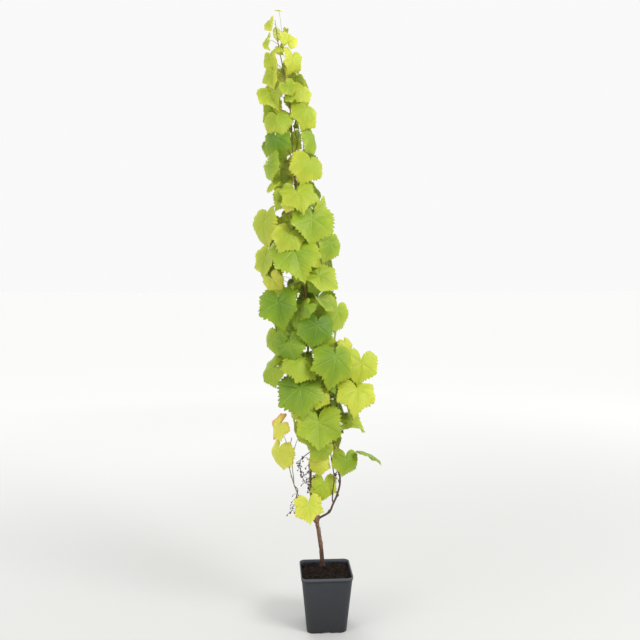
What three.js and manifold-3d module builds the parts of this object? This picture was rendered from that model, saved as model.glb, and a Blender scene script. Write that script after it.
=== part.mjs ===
// A young grapevine in its square nursery pot: a woody foot that forks low down, a tall leader,
// three thinner arms, and a slim leaning column of broad, shallow-lobed leaves.
// Millimetres, +Z up, origin at the middle of the pot's underside, -Y is the pot's front.

import * as THREE from 'three';
import { mergeVertices } from 'three/addons/utils/BufferGeometryUtils.js';
import Module from 'manifold-3d';

const wasm = await Module();
wasm.setup();

// ---- Driving dimensions ----

const GAP = 0.3;                        // left between neighbouring pieces

const POT = {
  height: 210, rimWidth: 190, baseWidth: 145, wall: 2.4, floor: 9, rimCorner: 21, baseCorner: 25,
  cornerSteps: 4, chamfer: 2, lipHeight: 13, lipOut: 2, notchWidth: 30, notchHeight: 6, padRadius: 30,
};
const SOIL_TOP = 196;
const GROUND = SOIL_TOP + GAP;

// Woody limbs: the centreline's points and the radius at each, from the root end to the tip.
const HEAD = [-33, 22, 388];            // the knobby fork where the arms leave the trunk
const HEAD_RADIUS = 10;
const SPUR = { length: 17, grown: 1.06, collar: 1.15, sides: 8 };  // the stub under each arm
const TRUNK = {
  points: [[-8, 59, GROUND], [-10, 56, 225], [-16, 47, 283], [-25, 32, 346], HEAD],
  radii: [10.5, 7.6, 6.7, 6.4, 7.5], sides: 10, steps: 12,
};
const ARMS_ON_HEAD = {
  leader: {
    points: [[-47, 17, 440], [-54, 13, 510], [-55, 11, 590], [-50, 9, 691], [-60, 10, 838],
      [-64, 10, 1022], [-74, 11, 1204], [-92, 12, 1420], [-106, 13, 1563], [-120, 14, 1776],
      [-127, 14, 1882], [-151, 12, 2021], [-169, 13, 2114], [-180, 14, 2196]],
    radii: [4.8, 4.6, 4.5, 4.4, 4.2, 4, 3.7, 3.4, 3.1, 2.7, 2.4, 1.9, 1.5, 0.9], sides: 8, steps: 28,
  },
  right_arm: {
    points: [[13, 4, 422], [27, -6, 456], [41, -15, 493], [50, -21, 534], [48, -21, 575],
      [36, -16, 622], [26, -10, 680], [16, -1, 839], [0, 16, 1000], [-22, 30, 1160]],
    radii: [3.9, 3.8, 3.7, 3.5, 3.4, 3.2, 3, 2.7, 2.2, 1.4], sides: 8, steps: 20,
  },
  left_arm: {
    points: [[-60, 10, 424], [-90, 4, 466], [-114, 4, 520], [-133, 6, 590], [-136, 8, 640],
      [-124, 10, 700]],
    radii: [2.2, 1.9, 1.7, 1.6, 1.5, 1.3], sides: 6, steps: 16,
  },
};
// A second arm rises from the right arm's elbow.
const INNER_ARM = {
  from: 468, face: -40, rise: [[24, -26, 510], [28, -34, 560], [20, -32, 620], [10, -26, 700]],
  radii: [2.6, 2.4, 2.2, 2, 1.8, 1.6], sides: 6, steps: 12,
};
const BUD_RISE = 0.35;                  // how steeply a shoot leaves its limb, up against out
const BUD_LENGTH = 9;

// The crown's column: its middle (x, y), half width and half depth at each height.
const CROWN = [
  { z: 380, x: -60, y: -20, wide: 60, deep: 70 },
  { z: 480, x: -50, y: -15, wide: 95, deep: 85 },
  { z: 600, x: -30, y: -5, wide: 90, deep: 95 },
  { z: 700, x: -28, y: 0, wide: 94, deep: 120 },
  { z: 790, x: -20, y: 0, wide: 120, deep: 138 },
  { z: 900, x: -2, y: 0, wide: 186, deep: 155 },
  { z: 1020, x: -40, y: 5, wide: 164, deep: 155 },
  { z: 1200, x: -84, y: 5, wide: 152, deep: 145 },
  { z: 1400, x: -106, y: 8, wide: 154, deep: 135 },
  { z: 1560, x: -112, y: 10, wide: 132, deep: 122 },
  { z: 1740, x: -126, y: 12, wide: 108, deep: 102 },
  { z: 1920, x: -130, y: 12, wide: 102, deep: 92 },
  { z: 2050, x: -158, y: 12, wide: 74, deep: 70 },
  { z: 2140, x: -170, y: 13, wide: 56, deep: 52 },
  { z: 2237, x: -180, y: 14, wide: 28, deep: 30 },
];

// A leaf's outline on one side, as the distance from the petiole at each angle off the tip: the
// tip, the upper lobe, the lower lobe and the rounded base, up to the notch opposite the tip.
const LEAF_OUTLINE = [[0, 1], [30, 0.9], [60, 0.95], [88, 0.87], [116, 0.89], [148, 0.7]];
const LEAF_NOTCH = 0.13;
const TIP_SHARE = 0.64;                 // of a leaf's length, from the petiole to the tip
const LEAF_THICKNESS = 0.0125;          // of a leaf's length
const LEAF_CLEARANCE = 3.4;             // between the middle surfaces of two leaves
const PETIOLE_RADIUS = 1.25;
const SHOOT = { radius: 1.9, tipRadius: 1.2, sides: 4, steps: 5, out: 17, sway: 5 };

// Masses of foliage, from the tip down. Each grows on one side shoot, which leaves its limb at one
// height, rises to another and stands on the side `face` (degrees from the front, towards +X).
// So many leaves of one length follow the growing rule, spread that far to each side of `face`.
// The leading leaves shape the crown's outline: each is the middle of its blade [x, y, z], its
// length, the side it faces, how far it looks up, and how far its tip swings from hanging straight.
const mass = (name, limb, [from, to], [face, spread], [count, length], leading = []) => (
  { name, limb, from, to, face, spread, count, length, leading });
const MASSES = [
  mass('foliage_tip', 'leader', [2040, 2150], [60, 180], [4, 42], [
    [-163, 6, 2226, 30, 20, 70, 80], [-200, 0, 2178, 48, -58, 20, 25],
    [-209, -4, 2112, 52, -70, 15, 14], [-133, -8, 2128, 60, 25, 10, 170]]),
  mass('foliage_top_front', 'leader', [1886, 2020], [-20, 70], [3, 68], [
    [-200, -22, 2046, 66, -52, 10, 10], [-118, -26, 2040, 80, 46, 5, -8],
    [-192, -26, 1984, 72, -50, 15, 5], [-194, -30, 1926, 84, -28, 25, 30],
    [-84, -28, 1940, 76, 32, 30, -30]]),
  mass('foliage_top_back', 'leader', [1900, 2030], [170, 85], [7, 70]),
  mass('foliage_upper_front', 'leader', [1706, 1860], [0, 60], [0, 84], [
    [-72, -50, 1862, 92, 25, 25, -15], [-172, -50, 1836, 92, -18, 30, 24],
    [-180, -58, 1758, 88, -22, 12, 6]]),
  mass('foliage_upper_left', 'leader', [1722, 1872], [-120, 58], [4, 86]),
  mass('foliage_upper_right', 'leader', [1738, 1874], [120, 58], [4, 86], [
    [-48, -8, 1776, 94, 62, 15, -35]]),
  mass('foliage_high_front', 'leader', [1516, 1680], [14, 50], [3, 90], [
    [-62, -68, 1680, 108, 24, 28, -20], [-206, -18, 1672, 100, -66, 12, 8],
    [-102, -94, 1568, 112, -2, 40, 14], [-140, -112, 1538, 46, -12, 20, -20]]),
  mass('foliage_high_left', 'leader', [1532, 1690], [-120, 58], [4, 96]),
  mass('foliage_high_right', 'leader', [1548, 1696], [120, 58], [4, 96], [
    [-12, -28, 1522, 106, 66, 10, -6]]),
  mass('foliage_mid_high_front', 'leader', [1318, 1490], [0, 60], [4, 100], [
    [-56, -94, 1472, 134, 12, 22, -10], [-112, -118, 1362, 146, -8, 38, 20],
    [8, -52, 1392, 102, 46, 8, -12]]),
  mass('foliage_mid_high_left', 'leader', [1334, 1500], [-100, 52], [4, 108], [
    [-222, -18, 1458, 138, -62, 8, 6], [-220, -14, 1342, 116, -62, 20, 5],
    [-154, -40, 1484, 44, -8, 20, 30]]),
  mass('foliage_mid_high_back', 'leader', [1350, 1510], [150, 62], [5, 112]),
  mass('foliage_middle_front', 'leader', [1134, 1290], [10, 60], [5, 104], [
    [-16, -68, 1284, 122, 20, 44, 52], [-186, -66, 1272, 64, -20, 5, 40],
    [34, -42, 1152, 118, 34, 15, -25]]),
  mass('foliage_middle_left', 'leader', [1150, 1300], [-90, 55], [5, 104], [
    [-172, -76, 1180, 132, -24, 22, 10]]),
  mass('foliage_middle_back', 'leader', [1166, 1310], [160, 65], [5, 114]),
  mass('foliage_mid_low_front', 'leader', [956, 1104], [5, 60], [6, 104], [
    [-40, -110, 1104, 112, 6, 15, -10], [26, -118, 990, 144, 24, 26, -12],
    [-98, -104, 1150, 78, -10, 25, -30], [-132, -82, 1044, 94, -24, 18, 16]]),
  mass('foliage_mid_low_left', 'leader', [972, 1114], [-90, 55], [5, 104], [
    [-188, -20, 1056, 92, -40, 15, 0], [-204, -10, 950, 98, -44, 24, -48]]),
  mass('foliage_mid_low_back', 'right_arm', [962, 1100], [150, 70], [5, 114], [
    [74, -34, 1044, 52, 28, 30, 20]]),
  mass('foliage_lower_front', 'leader', [772, 926], [0, 60], [5, 104], [
    [-96, -96, 880, 146, -12, 36, 10]]),
  mass('foliage_lower_left', 'leader', [790, 940], [-110, 60], [6, 104]),
  mass('foliage_lower_right', 'right_arm', [776, 920], [75, 60], [5, 110], [
    [124, -46, 962, 114, 16, 14, -8], [106, -90, 876, 126, 16, 50, -12]]),
  mass('foliage_lower_back', 'leader', [806, 946], [170, 55], [4, 114]),
  mass('foliage_skirt_front', 'inner_arm', [640, 760], [-10, 60], [4, 98], [
    [-34, -122, 756, 140, -4, 28, 0], [-86, -70, 806, 88, -24, 14, 8],
    [-34, -118, 870, 84, 4, 30, -6]]),
  mass('foliage_skirt_right', 'right_arm', [652, 750], [75, 60], [3, 88], [
    [98, -46, 764, 98, 25, 64, 76]]),
  mass('foliage_skirt_back', 'leader', [636, 776], [175, 80], [5, 104], [
    [-112, -22, 738, 84, -62, 8, 10]]),
  mass('foliage_low_left', 'left_arm', [610, 690], [-60, 60], [0, 80], [
    [-182, -6, 740, 90, -54, 26, -32], [-178, -10, 638, 98, -46, 10, -6]]),
  mass('foliage_low_right', 'right_arm', [566, 628], [84, 60], [0, 84], [
    [68, -36, 618, 88, 15, 15, -10], [160, -16, 640, 96, 124, 66, -31]]),
  mass('foliage_low_front', 'leader', [468, 600], [-15, 60], [0, 84], [
    [-24, -46, 608, 70, 0, 15, 5], [-8, -44, 522, 88, 8, 15, -4], [-64, -58, 458, 94, -5, 34, 8]]),
];

// How the growing rule tries a place: so many draws of a leaf, each moved in so many times.
const DRAWS = 16;
const STEPS_IN = 7;
const STEP_IN = 0.09;
const LEADING_SHIFTS = 12;              // a leading leaf that touches moves back and forth instead
const LEADING_SHIFT = 8;

const COLOURS = {
  pot: 0x3d3e43, soil: 0x2a211d, bark: 0x6e5853, cane: 0x947451, green: 0x9aa844,
  leaves: [0x96af3f, 0xa7be30, 0x84a529, 0xabc232, 0x8fac2e, 0xb4c54f],
};

// ---- Vectors ----

const add = (a, b, scale = 1) => [a[0] + b[0] * scale, a[1] + b[1] * scale, a[2] + b[2] * scale];
const sub = (a, b) => [a[0] - b[0], a[1] - b[1], a[2] - b[2]];
const dot = (a, b) => a[0] * b[0] + a[1] * b[1] + a[2] * b[2];
const cross = (a, b) => [a[1] * b[2] - a[2] * b[1], a[2] * b[0] - a[0] * b[2], a[0] * b[1] - a[1] * b[0]];
const times = (a, scale) => a.map((value) => value * scale);
const size = (a) => Math.sqrt(dot(a, a));
const unit = (a) => times(a, 1 / size(a));
const radians = (degrees) => degrees * Math.PI / 180;
const outward = (face) => [Math.sin(radians(face)), -Math.cos(radians(face)), 0];

// ---- Closed surfaces ----

function surface(points, index) {
  const geometry = new THREE.BufferGeometry();
  geometry.setAttribute('position', new THREE.Float32BufferAttribute(points.flat(), 3));
  geometry.setIndex(index);
  return geometry;
}

// A closed surface through rings of points that all have the same count, capped at both ends.
function loft(rings) {
  const count = rings[0].length;
  const index = [];
  for (let ring = 0; ring < rings.length - 1; ring += 1) {
    for (let i = 0; i < count; i += 1) {
      const a = ring * count + i;
      const b = ring * count + (i + 1) % count;
      index.push(a, b, b + count, a, b + count, a + count);
    }
  }
  const last = (rings.length - 1) * count;
  for (let i = 1; i < count - 1; i += 1) {
    index.push(0, i + 1, i);
    index.push(last, last + i, last + i + 1);
  }
  return surface(rings.flat(), index);
}

function solid(geometry) {
  const bare = geometry.clone();
  bare.deleteAttribute('normal');
  bare.deleteAttribute('uv');
  const closed = mergeVertices(bare, 1e-4);
  return new wasm.Manifold(new wasm.Mesh({
    numProp: 3,
    vertProperties: new Float32Array(closed.attributes.position.array),
    triVerts: new Uint32Array(closed.index.array),
  }));
}

function geometryOf(manifold) {
  const mesh = manifold.getMesh();
  const geometry = new THREE.BufferGeometry();
  geometry.setAttribute('position', new THREE.BufferAttribute(new Float32Array(mesh.vertProperties), 3));
  geometry.setIndex(new THREE.BufferAttribute(new Uint32Array(mesh.triVerts), 1));
  return geometry;
}

// ---- Limbs ----

const limbCurve = (limb) => new THREE.CatmullRomCurve3(
  limb.points.map((point) => new THREE.Vector3(...point)), false, 'catmullrom', 0.5);

const pointOn = (curve, share) => curve.getPoint(share).toArray();

const sharesOf = (steps) => Array.from({ length: steps + 1 }, (_, i) => i / steps);

function radiusOn(limb, share) {
  const place = share * (limb.radii.length - 1);
  const before = Math.min(Math.floor(place), limb.radii.length - 2);
  return limb.radii[before] + (limb.radii[before + 1] - limb.radii[before]) * (place - before);
}

// How far along a rising limb its centreline reaches a height.
function shareAtHeight(curve, height) {
  let low = 0;
  let high = 1;
  for (let i = 0; i < 40; i += 1) {
    const middle = (low + high) / 2;
    if (curve.getPoint(middle).z < height) low = middle;
    else high = middle;
  }
  return low;
}

// Rings across a path of points, each turned as little as possible from the one before.
function tube(path, radii, sides, firstNormal = null) {
  let across = null;
  const rings = path.map((point, i) => {
    const before = path[Math.max(i - 1, 0)];
    const after = path[Math.min(i + 1, path.length - 1)];
    const along = i === 0 && firstNormal ? firstNormal : unit(sub(after, before));
    across = across ?? (Math.abs(along[1]) < 0.9 ? [0, 1, 0] : [1, 0, 0]);
    across = unit(sub(across, times(along, dot(along, across))));
    const other = cross(along, across);
    return Array.from({ length: sides }, (_, side) => {
      const angle = 2 * Math.PI * side / sides;
      return add(add(point, across, radii[i] * Math.cos(angle)), other, radii[i] * Math.sin(angle));
    });
  });
  return loft(rings);
}

function limbGeometry(limb, firstNormal = null) {
  const curve = limbCurve(limb);
  const shares = sharesOf(limb.steps);
  return tube(shares.map((share) => pointOn(curve, share)), shares.map((share) => radiusOn(limb, share)),
    limb.sides, firstNormal);
}

// An arm of the head, with its root seated just clear of the stub that points at it.
function seatedOnHead(limb) {
  const toArm = unit(sub(limb.points[0], HEAD));
  const points = [add(HEAD, toArm, SPUR.length + GAP), ...limb.points];
  return { ...limb, toArm, points, radii: [limb.radii[0] * SPUR.grown, ...limb.radii] };
}

function makeTrunk(arms) {
  const knob = new THREE.SphereGeometry(HEAD_RADIUS, 10, 6).scale(1, 0.95, 1.15).translate(...HEAD);
  let trunk = solid(limbGeometry(TRUNK, [0, 0, 1])).add(solid(knob));
  for (const arm of arms) {
    const path = [0, 0.5, 1].map((share) => add(HEAD, arm.toArm, SPUR.length * share));
    const radius = arm.radii[0];
    trunk = trunk.add(solid(tube(path, [radius, radius * SPUR.collar, radius], SPUR.sides)));
  }
  return geometryOf(trunk);
}

// The point where something grows out of a limb at a height: clear of its bark, on one side.
function budOn(limb, height, face, radius) {
  const curve = limbCurve(limb);
  const share = shareAtHeight(curve, height);
  const out = outward(face);
  const start = add(pointOn(curve, share), out, radiusOn(limb, share) + GAP + radius * BUD_RISE);
  return { start, out, along: unit([out[0], out[1], BUD_RISE]) };
}

function makeInnerArm(rightArm) {
  const bud = budOn(rightArm, INNER_ARM.from, INNER_ARM.face, INNER_ARM.radii[0]);
  return { ...INNER_ARM, points: [bud.start, add(bud.start, bud.along, BUD_LENGTH), ...INNER_ARM.rise] };
}

// ---- The crown's space ----

function crownAt(z) {
  const height = Math.min(Math.max(z, CROWN[0].z), CROWN[CROWN.length - 1].z);
  const above = Math.max(CROWN.findIndex((row) => row.z >= height), 1);
  const low = CROWN[above - 1];
  const high = CROWN[above];
  const share = (height - low.z) / (high.z - low.z);
  const mix = (key) => low[key] + (high[key] - low[key]) * share;
  return { x: mix('x'), y: mix('y'), wide: mix('wide'), deep: mix('deep') };
}

function insideCrown(point) {
  const { x, y, wide, deep } = crownAt(point[2]);
  return point[2] < CROWN[CROWN.length - 1].z
    && ((point[0] - x) / wide) ** 2 + ((point[1] - y) / deep) ** 2 < 1;
}

// ---- Distances, for keeping leaves and shoots apart ----

function pointToSegment(p, a, b) {
  const ab = sub(b, a);
  const share = Math.min(Math.max(dot(sub(p, a), ab) / dot(ab, ab), 0), 1);
  return size(sub(p, add(a, ab, share)));
}

// Where a point lies over a triangle: inside it or not, and how far off its plane.
function overTriangle(p, [a, b, c]) {
  const ab = sub(b, a);
  const ac = sub(c, a);
  const ap = sub(p, a);
  const normal = cross(ab, ac);
  const area = dot(normal, normal);
  const v = dot(cross(ap, ac), normal) / area;
  const w = dot(cross(ab, ap), normal) / area;
  return { inside: v >= 0 && w >= 0 && v + w <= 1, height: dot(ap, normal) / Math.sqrt(area) };
}

function pointToTriangle(p, triangle) {
  const { inside, height } = overTriangle(p, triangle);
  if (inside) return Math.abs(height);
  const [a, b, c] = triangle;
  return Math.min(pointToSegment(p, a, b), pointToSegment(p, b, c), pointToSegment(p, c, a));
}

function segmentCrosses([p, q], triangle) {
  const start = overTriangle(p, triangle).height;
  const end = overTriangle(q, triangle).height;
  if (start * end > 0 || start === end) return false;
  return overTriangle(add(p, sub(q, p), start / (start - end)), triangle).inside;
}

// Points set at most `step` apart along a line of points.
function pointsAlong(path, step) {
  const points = [];
  for (let i = 0; i < path.length - 1; i += 1) {
    const leg = sub(path[i + 1], path[i]);
    const count = Math.ceil(size(leg) / step);
    for (let k = 0; k < count; k += 1) points.push(add(path[i], leg, k / count));
  }
  points.push(path[path.length - 1]);
  return points;
}

// ---- Leaves ----

// The same chances every time: a sequence of numbers between 0 and 1 from a whole-number seed.
function chances(seed) {
  let state = (seed * 7919 + 104729) % 2147483647;
  return () => {
    state = (state * 16807) % 2147483647;
    return state / 2147483647;
  };
}

// A leaf's place and shape. The middle of its blade or its petiole's end says where it is.
function makeLeaf({ middle, petioleEnd, length, face, up, roll }, chance) {
  const out = outward(face);
  const normal = add(times(out, Math.cos(radians(up))), [0, 0, 1], Math.sin(radians(up)));
  const side = unit(cross([0, 0, 1], normal));
  const hang = cross(side, normal);
  const tip = add(times(hang, Math.cos(radians(roll))), side, Math.sin(radians(roll)));
  const across = cross(normal, tip);
  const reach = length * TIP_SHARE;
  const fold = 0.44 * chance() - 0.18;
  const droop = 0.12 + 0.3 * chance();
  const wave = 0.09 * chance();
  const phase = 2 * Math.PI * chance();
  const base = petioleEnd ?? add(middle, tip, length / 2 - reach);
  const lift = (angle, radius) => length * (fold * Math.abs(radius * Math.sin(angle))
    - droop * radius * radius * Math.max(Math.cos(angle), 0.4) + wave * radius * Math.sin(3 * angle + phase));
  const right = LEAF_OUTLINE.map(([angle, radius]) => [radians(angle), radius]);
  const left = right.slice(1).reverse().map(([angle, radius]) => [-angle, radius]);
  const rim = [...right, [Math.PI, LEAF_NOTCH], ...left].map(([angle, radius]) => {
    const along = add(base, tip, reach * radius * Math.cos(angle));
    return add(add(along, across, reach * radius * Math.sin(angle)), normal, lift(angle, radius));
  });
  return { base, normal, tip, length, rim };
}

const nextOnRim = (leaf, i) => leaf.rim[(i + 1) % leaf.rim.length];
const fanOf = (leaf) => leaf.rim.map((point, i) => [leaf.base, point, nextOnRim(leaf, i)]);
const edgesOf = (leaf) => leaf.rim.flatMap((point, i) => [[point, nextOnRim(leaf, i)], [leaf.base, point]]);
const probesOf = (leaf) => [leaf.base, ...leaf.rim.flatMap(
  (point) => [point, add(leaf.base, sub(point, leaf.base), 0.5)])];

// The petiole arches from the shoot to the underside of the blade.
function petiolePath(root, leaf) {
  const end = add(leaf.base, leaf.normal, -leaf.length * LEAF_THICKNESS / 2);
  const span = sub(end, root);
  return [root, add(add(root, span, 0.62), [0, 0, 1], size(span) * 0.14), end];
}

// The petiole's three-sided rings, from the blade's underside back to the shoot.
function petioleRings({ leaf, rod }) {
  const [root, bend, end] = rod.path;
  return [[end, times(leaf.normal, -1)], [bend, unit(sub(root, end))], [root, unit(sub(root, bend))]]
    .map(([centre, down]) => {
      const first = unit(sub(leaf.tip, times(down, dot(leaf.tip, down))));
      const second = cross(first, down);
      return [0, 1, 2].map((corner) => {
        const angle = 2 * Math.PI * corner / 3;
        const reach = [PETIOLE_RADIUS * Math.cos(angle), PETIOLE_RADIUS * Math.sin(angle)];
        return add(add(centre, first, reach[0]), second, reach[1]);
      });
    });
}

// Blade and petiole as one closed piece: the underside opens into the petiole's three sides.
function leafSolid(grown) {
  const { leaf } = grown;
  const half = leaf.length * LEAF_THICKNESS / 2;
  const count = leaf.rim.length;
  const shifted = (distance) => (point) => add(point, leaf.normal, distance);
  const points = [shifted(half)(leaf.base), ...leaf.rim.map(shifted(half)), ...leaf.rim.map(shifted(-half)),
    ...petioleRings(grown).flat()];
  const lower = count + 1;
  const ring = 2 * count + 1;
  const cornerOf = (i) => ring + Math.floor((i + 0.5) * 3 / count + 0.5) % 3;
  const index = [];
  for (let i = 0; i < count; i += 1) {
    const next = (i + 1) % count;
    index.push(0, 1 + i, 1 + next);
    index.push(1 + i, lower + i, lower + next, 1 + i, lower + next, 1 + next);
    index.push(cornerOf(i), lower + next, lower + i);
    if (cornerOf(i) !== cornerOf(next)) index.push(cornerOf(i), cornerOf(next), lower + next);
  }
  for (let corner = 0; corner < 3; corner += 1) {
    const next = (corner + 1) % 3;
    for (const a of [ring, ring + 3]) {
      index.push(a + corner, a + 3 + corner, a + 3 + next, a + corner, a + 3 + next, a + next);
    }
  }
  index.push(ring + 6, ring + 8, ring + 7);
  return solid(surface(points, index));
}

// ---- Growing the masses ----

const leavesSoFar = [];
const rodsSoFar = [];                   // limbs, shoots and petioles: { path, radius, owner }

function leavesAreClear(leaf, other) {
  if (size(sub(leaf.base, other.base)) > 0.9 * (leaf.length + other.length)) return true;
  const fan = fanOf(leaf);
  const otherFan = fanOf(other);
  const meets = (edges, triangles) => edges.some(
    (edge) => triangles.some((triangle) => segmentCrosses(edge, triangle)));
  const tooClose = (points, triangles) => points.some(
    (point) => triangles.some((triangle) => pointToTriangle(point, triangle) < LEAF_CLEARANCE));
  return !meets(edgesOf(leaf), otherFan) && !meets(edgesOf(other), fan)
    && !tooClose(probesOf(leaf), otherFan) && !tooClose(probesOf(other), fan);
}

function rodIsClearOfLeaf(rod, leaf) {
  const fan = fanOf(leaf);
  const close = rod.radius + LEAF_CLEARANCE - 1;
  const pointIsClear = (point) => size(sub(point, leaf.base)) > leaf.length + close
    || fan.every((triangle) => pointToTriangle(point, triangle) > close);
  const legIsClear = (point, i) => fan.every((triangle) => !segmentCrosses([rod.path[i], point], triangle));
  return pointsAlong(rod.path, 6).every(pointIsClear) && rod.path.slice(1).every(legIsClear);
}

function rodsAreClear(rod, other) {
  const close = rod.radius + other.radius + 1.2;
  return pointsAlong(rod.path, 2.5).every((probe) => other.path.slice(1).every(
    (point, i) => pointToSegment(probe, other.path[i], point) > close));
}

function fits({ leaf, rod }) {
  return leavesSoFar.every((other) => leavesAreClear(leaf, other))
    && leavesSoFar.every((other) => rodIsClearOfLeaf(rod, other))
    && rodsSoFar.every((other) => rodIsClearOfLeaf(other, leaf))
    && rodsSoFar.every((other) => other.owner === rod.owner || rodsAreClear(rod, other));
}

// A side shoot: out of its limb, then up beside it, swaying a little.
function growShoot({ name, from, to, face }, limb) {
  const bud = budOn(limb, from, face, SHOOT.radius);
  const curve = limbCurve(limb);
  const limbTip = limb.points[limb.points.length - 1];
  const path = [bud.start, add(bud.start, bud.along, BUD_LENGTH)];
  const foot = from + 14;
  for (let i = 1; i <= SHOOT.steps; i += 1) {
    const height = foot + (to - foot) * i / SHOOT.steps;
    const axis = height < limbTip[2]
      ? pointOn(curve, shareAtHeight(curve, height)) : add(limbTip, [0, 0, 1], height - limbTip[2]);
    path.push(add(axis, bud.out, SHOOT.out + SHOOT.sway * Math.sin(1.7 * i)));
  }
  return { path, radius: SHOOT.radius, owner: name };
}

// Where a petiole leaves its shoot: at the wanted height, within the shoot's own length.
function petioleRoot({ path }, height) {
  const wanted = Math.min(Math.max(height, path[1][2] + 4), path[path.length - 1][2] - 3);
  const above = path.findIndex((point) => point[2] >= wanted);
  const share = (wanted - path[above - 1][2]) / (path[above][2] - path[above - 1][2]);
  return add(path[above - 1], sub(path[above], path[above - 1]), share);
}

// A leaf on its petiole, which leaves the shoot so far below the blade.
function hangLeaf(wish, shoot, chance, drop) {
  const leaf = makeLeaf(wish, chance);
  const root = petioleRoot(shoot, leaf.base[2] - drop);
  return { leaf, rod: { path: petiolePath(root, leaf), radius: PETIOLE_RADIUS, owner: shoot.owner } };
}

function leadingLeaf([x, y, z, length, face, up, roll], shoot, seed) {
  for (let shift = 0; shift < LEADING_SHIFTS; shift += 1) {
    const back = (shift % 2 ? 1 : -1) * Math.ceil(shift / 2) * LEADING_SHIFT;
    const grown = hangLeaf({ middle: [x, y + back, z], length, face, up, roll }, shoot, chances(seed), 25);
    if (fits(grown)) return grown;
  }
  return null;
}

// The growing rule: a leaf is drawn out to the crown's surface, then moved in until it fits.
function ruleLeaf(plan, shoot, turn, seed) {
  for (let draw = 0; draw < DRAWS; draw += 1) {
    const chance = chances(seed * 20 + draw);
    const height = plan.from + 25 + (plan.to - plan.from) * (turn + 0.1 + 0.8 * chance()) / plan.count;
    const face = plan.face + plan.spread * (2 * chance() - 1);
    const length = plan.length * (1.16 - 0.03 * draw - 0.45 * chance() ** 2);
    const wish = {
      length, face: face + 100 * (chance() - 0.5), up: 62 * chance() - 8, roll: 120 * (chance() - 0.5),
    };
    const outermost = 0.9 - 0.3 * chance() ** 2;
    const { x, y, wide, deep } = crownAt(height);
    const out = outward(face);
    for (let step = 0; step < STEPS_IN; step += 1) {
      const share = outermost - STEP_IN * step;
      wish.petioleEnd = [x + out[0] * wide * share, y + out[1] * deep * share, height];
      const grown = hangLeaf(wish, shoot, chances(seed * 20 + draw + 7), 20 + length * 0.15);
      if (grown.leaf.rim.every(insideCrown) && fits(grown)) return grown;
    }
  }
  return null;
}

// All the masses together: their shoots, then the leading leaves, then one leaf each in turns.
function growMasses(limbs) {
  const grown = MASSES.map((plan) => ({ plan, shoot: growShoot(plan, limbs[plan.limb]), leaves: [] }));
  rodsSoFar.push(...grown.map(({ shoot }) => shoot));
  const keep = (into, leaf) => {
    if (!leaf) return;
    leavesSoFar.push(leaf.leaf);
    rodsSoFar.push(leaf.rod);
    into.leaves.push(leaf);
  };
  grown.forEach((one, number) => one.plan.leading.forEach(
    (row, i) => keep(one, leadingLeaf(row, one.shoot, 5000 + number * 50 + i))));
  const rounds = Math.max(...MASSES.map((plan) => plan.count));
  for (let round = 0; round < rounds; round += 1) {
    grown.forEach((one, number) => {
      const { plan, shoot } = one;
      const turn = (round * 3) % plan.count;
      if (round < plan.count) keep(one, ruleLeaf(plan, shoot, turn, 100 + number * 10 + round));
    });
  }
  return grown;
}

function massGeometry({ shoot, leaves }) {
  const shares = sharesOf(shoot.path.length - 1);
  const radii = shares.map((share) => SHOOT.radius + (SHOOT.tipRadius - SHOOT.radius) * share);
  const stem = solid(tube(shoot.path, radii, SHOOT.sides));
  return geometryOf(leaves.map(leafSolid).reduce((sum, piece) => sum.add(piece), stem));
}

// ---- Pot and soil ----

// The outline of the square pot with rounded corners, at one height.
function squareRing(width, corner, z) {
  const ring = [];
  const inner = width / 2 - corner;
  for (let quarter = 0; quarter < 4; quarter += 1) {
    const centreX = quarter === 0 || quarter === 3 ? inner : -inner;
    const centreY = quarter < 2 ? inner : -inner;
    for (let step = 0; step <= POT.cornerSteps; step += 1) {
      const angle = (quarter + step / POT.cornerSteps) * Math.PI / 2;
      ring.push([centreX + corner * Math.cos(angle), centreY + corner * Math.sin(angle), z]);
    }
  }
  return ring;
}

// A ring of the pot's tapered wall, so far inside its outer face.
function potRing(z, inset) {
  const share = z / POT.height;
  const width = POT.baseWidth + (POT.rimWidth - 2 * POT.lipOut - POT.baseWidth) * share;
  const corner = POT.baseCorner + (POT.rimCorner - POT.baseCorner) * share;
  return squareRing(width - 2 * inset, corner - inset, z);
}

function makePot() {
  const { height, chamfer, lipOut, wall, floor } = POT;
  const lipFoot = height - POT.lipHeight;
  let pot = solid(loft([
    potRing(0, chamfer), potRing(chamfer, 0), potRing(lipFoot - lipOut, 0), potRing(lipFoot, -lipOut),
    potRing(height - lipOut, -lipOut), potRing(height, 1.5 - lipOut), potRing(height, 1),
    potRing(height - lipOut, wall), potRing(floor, wall),
  ]));
  const reach = POT.baseWidth / 2 - POT.padRadius + 10;
  for (let side = 0; side < 4; side += 1) {
    const channel = new THREE.BoxGeometry(reach, POT.notchWidth, 2 * POT.notchHeight);
    channel.translate(POT.padRadius + reach / 2, 0, 0).rotateZ(side * Math.PI / 2);
    pot = pot.subtract(solid(channel));
  }
  return geometryOf(pot);
}

function makeSoil() {
  const inset = POT.wall + GAP;
  return loft([potRing(POT.floor + GAP, inset), potRing(SOIL_TOP, inset)]);
}

// ---- Assembly ----

const grapevine = new THREE.Group();

function place(name, geometry, color, roughness) {
  const mesh = new THREE.Mesh(geometry, new THREE.MeshStandardMaterial({ color, roughness, metalness: 0 }));
  mesh.name = name;
  grapevine.add(mesh);
}

place('pot', makePot(), COLOURS.pot, 0.5);
place('potting_soil', makeSoil(), COLOURS.soil, 0.95);

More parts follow.
